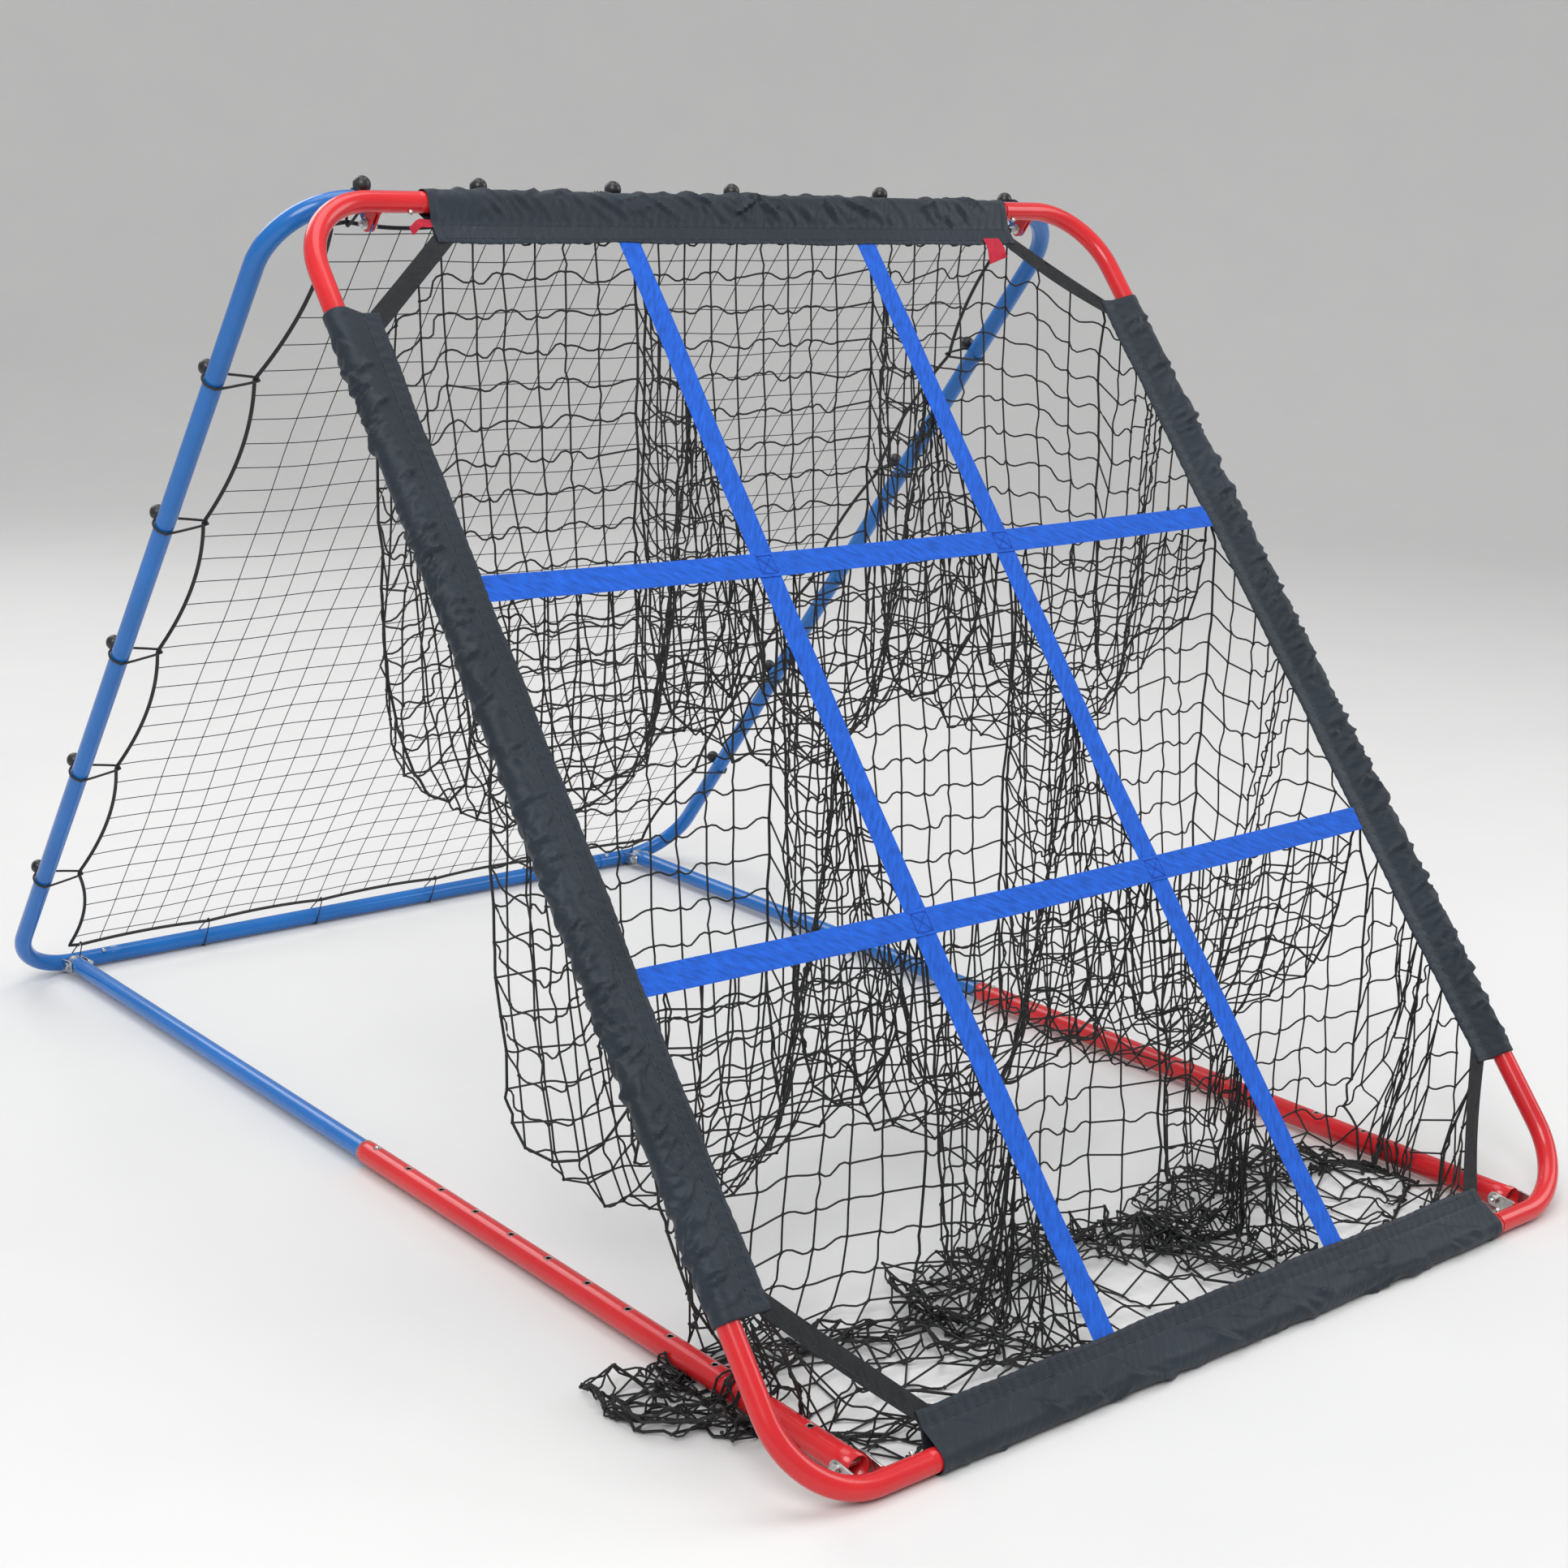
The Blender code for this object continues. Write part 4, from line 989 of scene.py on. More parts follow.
@dataclass
class Bolts:
    """Hexagon bolts with flange nuts at the hinges and the base pivots."""

    across: float = 0.0145
    height: float = 0.0055
    shank: float = 0.004
    stub: float = 0.004
    gap: float = 0.0003
    face_r: float = 0.0055
    blunt_r: float = 0.0069
    flange: float = 0.0011
    flange_over: float = 0.0012
    front_grip: float = 0.0212
    rear_grip: float = 0.0187
    hinge_grip: float = 0.0052

    def skin(self, middle: Array, grip: float, direction: float) -> Skin:
        """A bolt along X: head, shank, nut and threaded stub turned about one axis.

        A hexagon's radius at an angle is its flat's distance over the cosine from the flat's middle, held
        under a limit that rounds its corners off.

        Args:
            middle: the middle of what the bolt holds.
            grip: half the thickness of that.
            direction: the sense along X from the head to the nut.

        Returns:
            The closed skin.
        """
        turn = angles(72)
        flat = self.across / 2 * math.cos(math.pi / 6)
        hexagon = flat / np.cos(np.mod(turn, np.pi / 3) - np.pi / 6)
        free = 1.0
        g = grip + self.gap
        h = self.height
        f = self.flange
        washer = self.across / 2 + self.flange_over
        thread = np.linspace(g + h, g + h + self.stub - 0.0006, 9)
        ridge = np.where(np.arange(len(thread)) % 2 == 0, self.shank * 0.88, self.shank)
        stations = [(-g - h, self.face_r), (-g - h + 0.0006, self.blunt_r), (-g - h + 0.0010, free),
                    (-g - f, free), (-g - f, washer), (-g, washer), (-g, self.shank), (g, self.shank),
                    (g, washer), (g + f, washer), (g + f, free), (g + h - 0.0009, free),
                    (g + h - 0.0005, self.blunt_r), (g + h, self.face_r), *zip(thread, ridge),
                    (g + h + self.stub, self.shank * 0.7)]
        place, limit = np.array(stations).T
        is_hex = np.isin(limit, (free, self.blunt_r))[:, None]
        limit = np.broadcast_to(limit[:, None], (len(place), len(turn)))
        radii = np.where(is_hex, np.minimum(limit, hexagon), limit)
        return turned(place, radii, middle, np.array((direction, 0.0, 0.0)))

    def build(self, shop: Workshop) -> None:
        """Make the six bolts."""
        for name, side in SIDES:
            x = side * BASE_X
            jobs = ((f"front_pivot_bolt_{name}", (x, -PIVOT_Y, PIVOT_Z), self.front_grip, -side),
                    (f"rear_pivot_bolt_{name}", (x, PIVOT_Y, PIVOT_Z), self.rear_grip, -side),
                    (f"hinge_bolt_{name}", (side * HINGE_X, 0.0, HINGE_Z), self.hinge_grip, side))
            for node, middle, grip, direction in jobs:
                shop.add(f"{node}_hex", self.skin(np.array(middle), grip, direction), PLATING, node)


@dataclass
class BaseTubes:
    """The telescoping base tubes and their spring lock buttons."""

    outer_r: float = BASE_R
    outer_wall: float = 0.0015
    front_y: float = -PIVOT_Y - 0.016
    rear_y: float = 0.028
    inner_y: float = -0.054
    inner_past: float = 0.016
    lock_y: float = -0.008
    pin_r: float = 0.0035
    wire_r: float = 0.001
    hole_count: int = 12
    hole_pitch: float = 0.0925
    hole_r: float = 0.0043
    sides: int = 48
    block: int = 3

    def outer(self, x: float) -> Skin:
        """The drilled tube: a grid round and along it, with a square of cells at each hole made a ring.

        A ring's inner points lie on the hole's circle, in the direction of the square's edge points, measured
        over the tube's surface. Wear is greatest on the hole rims.

        Args:
            x: the tube's place across.

        Returns:
            The tube's surface, with its wear.
        """
        cell = 2 * np.pi * self.outer_r / self.sides
        n = self.block
        holes = self.lock_y - np.arange(self.hole_count) * self.hole_pitch
        steps = np.arange(-n, n + 1) * cell
        between = holes[:-1] - self.hole_pitch / 2
        ends = (self.rear_y, self.rear_y - 0.012, self.front_y + 0.03, self.front_y)
        y = np.unique(np.round(np.concatenate([(holes[:, None] + steps).ravel(), between, ends]), 6))[::-1]
        turn = angles(self.sides)
        top = self.sides // 4

        def on_tube(angle: Array, along: Array) -> Array:
            """Points of the tube's surface at an angle and a place along it."""
            return np.stack([x + self.outer_r * np.cos(angle), along,
                             PIVOT_Z + self.outer_r * np.sin(angle)], axis=-1)

        rows = on_tube(*np.broadcast_arrays(turn[None, :], y[:, None]))
        skin = grid_skin(rows[None], False, True)
        centre = np.array([np.argmin(np.abs(y - h)) for h in holes])
        cells_row = np.repeat(np.arange(len(y) - 1), self.sides)
        cells_col = np.tile(np.arange(self.sides), len(y) - 1)
        in_row = (cells_row[:, None] >= centre - n) & (cells_row[:, None] < centre + n)
        cut = in_row.any(axis=1) & (cells_col >= top - n) & (cells_col < top + n)
        line = np.arange(-n, n)
        far = np.full(2 * n, n)
        square = ((-far, line), (line, far), (far, -line), (-line, -far))
        loop = np.concatenate([np.stack(edge, axis=1) for edge in square])
        edge = (centre[:, None] + loop[:, 0]) * self.sides + top + loop[:, 1]
        aim = unit(np.stack([-loop[:, 0], loop[:, 1]], axis=-1).astype(float)) * self.hole_r
        angle = np.pi / 2 + aim[:, 1] / self.outer_r
        rim = on_tube(*np.broadcast_arrays(angle[None, :], holes[:, None] + aim[:, 0]))
        start = len(skin.points)
        count = len(loop)
        inner = start + np.arange(len(holes))[:, None] * count + np.arange(count)
        ring = np.stack([edge, np.roll(edge, -1, 1), np.roll(inner, -1, 1), inner], axis=-1).reshape(-1, 4)
        faces = np.concatenate([skin.faces[0][~cut], ring])
        points = np.concatenate([skin.points, rim.reshape(-1, 3)])
        wear = np.zeros(len(points))
        wear[inner.ravel()] = 1.0
        wear[edge.ravel()] = 0.25
        wear[:self.sides] = 0.8
        used, faces = np.unique(faces, return_inverse=True)
        faces = faces.reshape(-1, 4)
        points = points[used]
        uv = np.stack([points[:, 1], points[:, 0]], axis=-1)[faces]
        return Skin(points, [faces], [uv], wear[used])

    def inner(self, x: float) -> Skin:
        """The sliding tube.

        Args:
            x: the tube's place across.

        Returns:
            The tube, worn at its rear end.
        """
        end = PIVOT_Y + self.inner_past
        y = np.concatenate([[self.inner_y, -0.050], np.linspace(-0.02, PIVOT_Y - 0.03, 8), [end]])
        path = np.stack([np.full_like(y, x), y, np.full_like(y, PIVOT_Z)], axis=-1)
        skin = hollow(path, np.full(len(y), TUBE_R), TUBE_WALL, Z_AXIS)
        skin.wear = np.where(np.abs(skin.points[:, 1] - PIVOT_Y - self.inner_past) < 0.004, 0.9, 0.0)
        return skin

    def button(self, x: float) -> Skin:
        """A domed pin on a bent spring wire that lies inside the sliding tube.

        Args:
            x: the tube's place across.

        Returns:
            The pin and its wire.
        """
        crown = PIVOT_Z + self.outer_r + 0.003
        leg = 0.0119
        blunt = np.array((self.pin_r, self.pin_r, self.pin_r, 0.0030, 0.0019, 0.0004))
        foot = np.array((x, self.lock_y, PIVOT_Z))
        tall = np.array((leg - 0.001, 0.0165, 0.0190, 0.0198, 0.02035, crown - PIVOT_Z))
        pin = turned(tall, blunt[:, None], foot, Z_AXIS)
        y = np.array((-0.004, 0.0, 0.029, 0.034, 0.029, 0.0))
        z = np.array((leg, leg, leg * 0.4, leg * 0.15, -leg * 0.1, -leg * 0.5))
        wire = foot + np.stack([np.zeros(len(y)), y, z], axis=-1)
        return Skin.joined([pin, carried(rounded(wire, 5)[None], circle(self.wire_r, 10), X_AXIS)])

    def build(self, shop: Workshop) -> None:
        """Make both sides of the base.

        Args:
            shop: where the pieces are added.
        """
        for name, side in SIDES:
            x = side * BASE_X
            node = f"base_outer_{name}"
            shop.add(f"{node}_tube", self.outer(x), RED_ENAMEL, node, self.outer_wall)
            shop.add(f"base_inner_{name}_tube", self.inner(x), BLUE_ENAMEL, f"base_inner_{name}")
            shop.add(f"lock_button_{name}_pin", self.button(x), PLATING, f"lock_button_{name}")


# Border covers, straps and tabs

@dataclass
class Sleeve:
    """A cloth cover sewn round a tube, with a flat hem band on the frame's inner side."""

    name: str
    middle: Array
    along: Array
    inward: Array
    length: float
    flange: float
    seed: int
    folds: int
    slant: tuple
    rests_on: tuple
    crowd: tuple = (0.0, 1.0)
    seam: float = 0.037
    band_half: float = 0.0021
    stations: int = 400
    wall: float = 0.0011
    fold_width: tuple = (0.0026, 0.0058)
    fold_reach: tuple = (0.011, 0.034)
    fold_height: tuple = (0.0014, 0.0048)
    height_range: tuple = (-0.0015, 0.0066)
    calm_length: float = 0.02
    ripple_height: float = 0.00035
    pucker_pitch: float = 0.016
    tip_drift: float = 0.0009
    hem: float = 0.012
    hem_height: float = 0.0007
    ground_gap: float = 0.0005
    stitch_pitch: float = 0.0075

    def section(self) -> tuple[Array, Array, Array]:
        """The cover's outline, square to the tube: round it, in to the seam, and out along the band.

        Returns:
            Points (inward, outward), the distance round from the tip, and a share from 0 on the band to 1 on
            the round part.
        """
        start = math.acos(COVER_R / math.hypot(self.seam, self.band_half))
        start += math.atan2(self.band_half, self.seam)
        turn = np.linspace(start, 2 * np.pi - start, 25)
        arch = COVER_R * np.stack([np.cos(turn), np.sin(turn)], axis=-1)
        seam = np.array((self.seam, self.band_half))
        slope = seam + (arch[0] - seam) * np.linspace(0, 1, 7)[:-1, None]
        tip_centre = self.flange - self.band_half
        band = np.stack([np.linspace(tip_centre, self.seam, 7)[:-1], np.full(6, self.band_half)], axis=-1)
        flip = np.array((1.0, -1.0))
        tip = circle(self.band_half, 12)[10:] + (tip_centre, 0.0)
        tip = np.concatenate([tip, [(self.flange, 0.0)], tip[::-1] * flip])[1:-1]
        outline = np.concatenate([band, slope, arch, slope[::-1] * flip, band[::-1] * flip, tip])
        share = np.concatenate([np.zeros(len(band)), np.linspace(0.0, 1.0, len(slope)), np.ones(len(arch)),
                                np.linspace(1.0, 0.0, len(slope)), np.zeros(len(band) + len(tip))])
        return outline, run_of(outline), share

    def fold_field(self, s: Array, w: Array) -> Array:
        """Height of the cloth's folds: a sum of slanting ridges, each with a shallow valley beside it.

        A ridge is a bell across its width and a wider bell along its length, at a seeded place and slant.

        Args:
            s: places along the cover.
            w: places round it.

        Returns:
            The height at each place.
        """
        rng = np.random.default_rng(self.seed)
        low, high = self.crowd
        place_s = (rng.uniform(low, high, self.folds) - 0.5) * self.length
        place_w = rng.uniform(w.min(), w.max(), self.folds)
        slant = np.radians(rng.uniform(*self.slant, self.folds))
        slant = slant * rng.choice((1.0, 1.0, 1.0, -0.6), self.folds)
        width = rng.uniform(*self.fold_width, self.folds)
        reach = rng.uniform(*self.fold_reach, self.folds)
        tall = rng.uniform(*self.fold_height, self.folds)
        ds = s[..., None] - place_s
        dw = w[..., None] - place_w
        p = ds * np.cos(slant) + dw * np.sin(slant)
        q = dw * np.cos(slant) - ds * np.sin(slant)
        crest = np.exp(-(np.abs(q) / width) ** 1.3)
        bell = crest - 0.65 * np.exp(-((q - 1.7 * width) / (0.9 * width)) ** 2)
        return (tall * bell * np.exp(-(p / reach) ** 2)).sum(axis=-1)

    def skin(self) -> tuple[Skin, float]:
        """The cover: its outline carried along the tube, and moved out by its folds and puckers.

        Returns:
            The surface and the length of its outline.
        """
        outline, around, share = self.section()
        s = np.linspace(-self.length / 2, self.length / 2, self.stations)
        grid_s, grid_w = np.meshgrid(s, around, indexing="ij")
        tangent = unit(np.roll(outline, -1, axis=0) - np.roll(outline, 1, axis=0))
        outward = np.stack([tangent[:, 1], -tangent[:, 0]], axis=-1)
        outward *= np.sign((outward * (outline - (0.01, 0.0))).sum(axis=-1, keepdims=True))
        end = self.length / 2 - np.abs(grid_s)
        calm = np.clip(end / self.calm_length, 0.25, 1.0)
        field = self.fold_field(grid_s, grid_w) * calm * (0.10 + 0.90 * share)
        wave = sway(grid_s, (9.0, 23.0, 41.0), self.seed + 50)
        by_seam = np.exp(-((share - 0.1) / 0.25) ** 2)
        pucker = np.sin(grid_s * 2 * np.pi / self.pucker_pitch + wave) * self.ripple_height * by_seam
        height = np.clip(field + pucker + wave * self.ripple_height * share, *self.height_range)
        height = height + self.hem_height * (end < self.hem)
        tip_shift = wave * self.tip_drift * ramp(outline[:, 0], self.seam, 0.03)
        profile = outline[None] + height[..., None] * outward[None]
        profile[..., 0] += tip_shift
        normal = np.cross(self.along, self.inward)
        points = (self.middle + grid_s[..., None] * self.along + profile[..., :1] * self.inward
                  + profile[..., 1:] * normal)
        points[..., 2] = np.maximum(points[..., 2], self.ground_gap)
        round_v = np.append(around, around[-1] + np.linalg.norm(outline[0] - outline[-1]))
        return grid_skin(points[None], False, True, s, round_v), float(round_v[-1])

    def seams(self) -> Skin:
        """Stitch rows on both faces of the band: along its root and along its edge.

        Returns:
            The stitches.
        """
        s = np.linspace(-self.length / 2 + 0.004, self.length / 2 - 0.004, 60)
        normal = np.cross(self.along, self.inward)
        rows = []
        for face in (1.0, -1.0):
            for reach in (self.seam + 0.002, self.flange - 0.007):
                line = (self.middle + s[:, None] * self.along + reach * self.inward
                        + face * (self.band_half + 0.0002) * normal)
                rows.append(stitches(line, face * normal, self.stitch_pitch))
        return Skin.joined(rows)

    def build(self, shop: Workshop) -> None:
        """Make the cover and its sewing.

        Args:
            shop: where the pieces are added.
        """
        skin, girth = self.skin()
        cover = shop.add(f"{self.name}_cover", skin, COVER, self.name, self.wall)
        sewing = shop.add(f"{self.name}_stitching", self.seams(), COVER_THREAD, self.name, stands=False)


def strap_profile(width: float, thickness: float, sides: int = 20) -> Array:
    """A strap's outline: a flat superellipse whose edges are rounded."""
    flat, edge = circle(1.0, sides).T
    across = width / 2 * np.sign(flat) * np.abs(flat) ** 0.35
    return np.stack([across, thickness / 2 * np.sign(edge) * np.abs(edge) ** 0.6], axis=-1)


@dataclass
class Border:
    """The border of the front frame: four covers, four corner straps and two red tabs."""

    corner_width: float = 0.030
    thickness: float = 0.0016
    tuck: float = 0.012
    tab_width: float = 0.036
    tab_length: float = 0.040
    loose_width: float = 0.012
    loose_length: float = 0.046
    ribbon: float = 0.0009

    def sleeves(self) -> list[Sleeve]:
        """The four covers.

        Returns:
            The top, bottom and side ones.
        """
        side_length = SIDE_COVER_HIGH - SIDE_COVER_LOW
        side_middle = (SIDE_COVER_HIGH + SIDE_COVER_LOW) / 2
        covers = [
            Sleeve("top_sleeve", FRONT.place(0.0, FRAME_LENGTH), X_AXIS, -FRONT.rise, 2 * TOP_COVER_HALF,
                   flange=0.068, seed=3, folds=300, slant=(20, 62), rests_on=("front_top_rail",)),
            Sleeve("bottom_sleeve", FRONT.place(0.0, 0.0), -X_AXIS, FRONT.rise, 2 * BOTTOM_COVER_HALF,
                   flange=0.060, seed=8, folds=170, slant=(5, 50), rests_on=("front_bottom_rail",))]
        for name, side in SIDES:
            tubes = tuple(f"front_corner_{level}_{name}" for level in ("bottom", "top"))
            covers.append(Sleeve(
                f"side_sleeve_{name}", FRONT.place(side * HALF_WIDTH, side_middle), FRONT.rise,
                -side * X_AXIS, side_length, flange=0.062, seed=21 + int(side), folds=560, slant=(35, 85),
                rests_on=tubes, crowd=(0.02, 0.97), stations=520))
        return covers

    def corner_strap(self, side: float, top: bool) -> Skin:
        """A flat strap from a corner of the level cover's band to the end of the side cover's band.

        Args:
            side: -1 left, 1 right.
            top: whether it is an upper corner.

        Returns:
            The strap.
        """
        half = TOP_COVER_HALF if top else BOTTOM_COVER_HALF
        edge = TOP_TIP if top else BOTTOM_TIP
        end = SIDE_COVER_HIGH if top else SIDE_COVER_LOW
        run = -1.0 if top else 1.0
        w = self.corner_width * 0.55
        start = np.array((side * (half - w), edge - run * self.tuck))
        stop = np.array((side * (SIDE_TIP + self.tuck), end + run * w))
        s = np.linspace(0, 1, 25)
        flat = start + (stop - start) * s[:, None]
        bow = np.sin(np.pi * s)
        path = FRONT.place(flat[:, 0], flat[:, 1], 0.004 * bow)
        twist = unit(FRONT.normal + 0.25 * bow[:, None] * FRONT.rise)
        return carried(path[None], strap_profile(self.corner_width * 0.92, self.thickness), twist[None])

    def tab(self, loose: bool) -> Skin:
        """A short red ribbon: one hangs from the top cover's band, a loose one curls out of its end.

        Args:
            loose: whether it is the loose one.

        Returns:
            The ribbon.
        """
        s = np.linspace(0, 1, 22)
        if loose:
            width = self.loose_width
            x = -TOP_COVER_HALF + 0.010 - self.loose_length * s
            up = FRAME_LENGTH - 0.033 - 0.0126 * s - 0.004 * np.sin(2.5 * np.pi * s) * s
            path = FRONT.place(x, up, -0.0011 - 0.006 * np.sin(np.pi * s) * s)
            guide = FRONT.normal + 0.9 * (s**2)[:, None] * FRONT.rise
        else:
            width = self.tab_width
            up = TOP_TIP + 0.010 - self.tab_length * s
            x = TOP_COVER_HALF - 0.052 + 0.002 * np.sin(2 * np.pi * s) * s
            path = FRONT.place(x, up, -0.0034 - 0.005 * s**2 * np.sin(1.5 * np.pi * s))
            guide = FRONT.normal + 0.25 * (s**2)[:, None] * X_AXIS
        size = 1.0 - 0.06 * np.cos(9.0 * s) * s
        profile = strap_profile(width, self.ribbon, 16)
        return carried(path[None], profile, unit(guide)[None], scale=size)

    def build(self, shop: Workshop) -> None:
        """Make the covers, straps and tabs.

        Args:
            shop: where the pieces are added.
        """
        for sleeve in self.sleeves():
            sleeve.build(shop)
        for name, side in SIDES:
            for level in ("top", "bottom"):
                node = f"corner_strap_{level}_{name}"
                shop.add(f"{node}_web", self.corner_strap(side, level == "top"), BLACK_STRAP, node)
        shop.add("red_tab_left_ribbon", self.tab(True), RED_RIBBON, "red_tab_left")
        shop.add("red_tab_right_ribbon", self.tab(False), RED_RIBBON, "red_tab_right")


@dataclass
class TargetGrid:
    """Four blue straps that part the opening into nine targets, sewn together where they cross."""

    width: float = 0.038
    thickness: float = 0.0016
    tuck: float = 0.012
    drift: float = 0.0005
    layer_gap: float = 0.0003
    stitch_pitch: float = 0.0042

    def web(self, start: tuple, stop: tuple, layer: float, seed: int) -> Skin:
        """A strap between two points of the opening, bowed with the grid, with a slightly uneven run.

        Args:
            start: one end, across and up the slope.
            stop: the other end.
            layer: how far behind the bowed plane it lies.
            seed: sets the uneven run.

        Returns:
            The strap.
        """
        s = np.linspace(0, 1, 80)
        flat = np.array(start) + (np.array(stop) - np.array(start)) * s[:, None]
        drift = sway(s, (11.0, 19.0, 37.0), seed) * self.drift
        path = FRONT.hang(flat[:, 0] + drift, flat[:, 1], layer)
        size = 1.0 + 0.5 * drift / self.width
        return carried(path[None], strap_profile(self.width, self.thickness), FRONT.normal[None], scale=size)

    def cross_stitch(self, x: float, up: float, layer: float) -> Skin:
        """A sewn square with a cross in it.

        Args:
            x: the crossing's place across.
            up: its place up the slope.
            layer: how far behind the bowed plane the thread lies.

        Returns:
            The stitches.
        """
        h = self.width / 2 - 0.005
        knots = np.array(((-h, -h), (h, -h), (h, h), (-h, h), (-h, -h), (h, h), (-h, h), (h, -h)))
        s = np.linspace(0, len(knots) - 1, 150)
        flat = np.stack([np.interp(s, np.arange(len(knots)), knots[:, k]) for k in (0, 1)], axis=-1)
        line = FRONT.hang(x + flat[:, 0], up + flat[:, 1], layer)
        return stitches(line, -FRONT.normal, self.stitch_pitch)

    def build(self, shop: Workshop) -> None:
        """Make the straps and the sewing on their crossings.

        Args:
            shop: where the pieces are added.
        """
        reach = SIDE_TIP + self.tuck
        layer = (self.thickness + self.layer_gap) / 2
        for name, side in SIDES:
            x = side * STRAP_COLUMN_X
            skin = self.web((x, BOTTOM_TIP - self.tuck), (x, TOP_TIP + self.tuck), layer, 4)
            shop.add(f"target_strap_upright_{name}_web", skin, BLUE_STRAP, f"target_strap_upright_{name}")
        for number, (name, up) in enumerate(zip(("lower", "upper"), STRAP_ROWS)):
            node = f"target_strap_level_{name}"
            skin = self.web((-reach, up), (reach, up), -layer, 7 + number)
            shop.add(f"{node}_web", skin, BLUE_STRAP, node)
            face = -layer - self.thickness / 2 - self.layer_gap
            sewn = [self.cross_stitch(side * STRAP_COLUMN_X, up, face) for _, side in SIDES]
            shop.add(f"{node}_stitching", Skin.joined(sewn), BLUE_THREAD, node, stands=False)


# Net pockets

GROUND_Z = 0.0035
HEAP_X = BASE_X + 0.023
INSIDE_X = BASE_X - 0.024
BASE_GAP = 0.0014


def inside_base(height: Array) -> Array:
    """How far out a net may hang at a height: inside the base tube, and further out the higher it is."""
    return INSIDE_X + 0.5 * np.maximum(height - 0.045, 0.0)


def clear_of_base(points: Array, margin: float) -> Array:
    """Points moved straight out of the base tubes: those nearer an axis than its radius and the margin.

    Args:
        points: the points, (..., 3).
        margin: the least distance from a tube's skin.

    Returns:
        The moved points.
    """
    out = np.abs(points[..., 0]) - BASE_X
    rise = points[..., 2] - PIVOT_Z
    far = np.hypot(out, rise)
    push = np.maximum(1.0, (BASE_R + margin) / np.maximum(far, 1e-6))
    x = np.copysign(BASE_X + out * push, points[..., 0])
    return np.stack([x, points[..., 1], PIVOT_Z + rise * push], axis=-1)


def round_base(paths: Array, margin: float) -> Array:
    """Strands led round the base tubes.

    A strand that passes from one side of a tube to the other follows the tube's circle over or under it,
    whichever its straight line is nearer to. Any other is moved straight out.

    Args:
        paths: the strands' points, (count, m, 3).
        margin: the least distance from a tube's skin to a strand's middle.

    Returns:
        The strands' new points.
    """
    out = np.abs(paths[..., 0]) - BASE_X
    first, last = out[:, 0], out[:, -1]
    crosses = first * last < 0
    share = first / np.where(crosses, first - last, 1.0)
    level = paths[:, 0, 2] + (paths[:, -1, 2] - paths[:, 0, 2]) * share
    reach = BASE_R + margin
    lift = np.sqrt(np.maximum(reach**2 - out**2, 0.0))
    z = paths[..., 2]
    led = np.where((level > PIVOT_Z)[:, None], np.maximum(z, PIVOT_Z + lift), np.minimum(z, PIVOT_Z - lift))
    led = np.where(np.abs(out) < reach, led, z)
    bent = np.stack([paths[..., 0], paths[..., 1], led], axis=-1)
    return np.where(crosses[:, None, None], bent, clear_of_base(paths, margin))


@dataclass
class Web:
    """A net as knots and the twine between them.

    Attributes:
        points: the knots at the start, (n, 3).
        held: whether each knot is sewn to the border.
        pairs: the knots that each piece of twine joins, hanging pieces first.
        lengths: the pieces' lengths.
        tied: how many of the pieces hang; the rest are level.
        anchors: two held knots that each knot hangs from.
        reaches: its longest distances from them.
        parity: whether each level piece is odd in its row.
        grid: the main sheet's knots by row and column.
        ground: the height that each knot comes to lie at.
        heap: whether each knot lies in the heap outside the base tube.
    """

    points: Array
    held: Array
    pairs: Array
    lengths: Array
    tied: int
    anchors: Array
    reaches: Array
    parity: Array
    grid: Array
    ground: Array
    heap: Array

    def pulled(self, now: Array, haste: float = 1.7) -> Array:
        """Shifts of the knots towards each other along every string that is too long.

        Args:
            now: the knots as they are.
            haste: times the mean shift at each knot.

        Returns:
            A shift for each knot, none for a held one.
        """
        a, b = self.pairs.T
        count = len(now)
        gap = now[b] - now[a]
        size = np.linalg.norm(gap, axis=1)
        over = np.maximum(size - self.lengths, 0.0) / np.maximum(size, 1e-9)
        pull = gap * (0.5 * over)[:, None]
        tight = over > 0
        share = np.bincount(a, tight, count) + np.bincount(b, tight, count)
        shift = np.stack([np.bincount(a, pull[:, k], count) - np.bincount(b, pull[:, k], count)
                          for k in range(3)], axis=-1)
        free = (~self.held).astype(float)[:, None]
        return free * haste * shift / np.maximum(share, 1.0)[:, None]

    def settled(self, steps: int = 260, passes: int = 8, fall: float = 0.0012, drag: float = 0.93) -> Array:
        """Knots hung on strings: each step they fall a little, then strings and reaches pull them back.

        Args:
            steps: falling steps.
            passes: pulls at the strings in each step.
            fall: what gravity adds to a step.
            drag: the share of a step that carries on into the next.

        Returns:
            The settled points.
        """
        now = self.points.copy()
        before = now.copy()
        free = (~self.held).astype(float)[:, None]
        for _ in range(steps):
            move = (now - before) * drag
            before = now.copy()
            now = now + free * (move - fall * Z_AXIS)
            for _ in range(passes):
                now = now + self.pulled(now)
            for k in range(2):
                root = now[self.anchors[:, k]]
                gap = now - root
                size = np.maximum(np.linalg.norm(gap, axis=1), 1e-9)
                now = root + gap * np.minimum(1.0, self.reaches[:, k] / size)[:, None]
            grounded = now[:, 2] < self.ground
            now[:, 2] = np.maximum(now[:, 2], self.ground)
            side = np.abs(now[:, 0])
            kept_in = np.where(self.held, side, np.minimum(side, inside_base(now[:, 2])))
            now[:, 0] = np.copysign(np.where(self.heap, np.maximum(side, HEAP_X), kept_in), now[:, 0])
            before[grounded] = now[grounded]
        return now


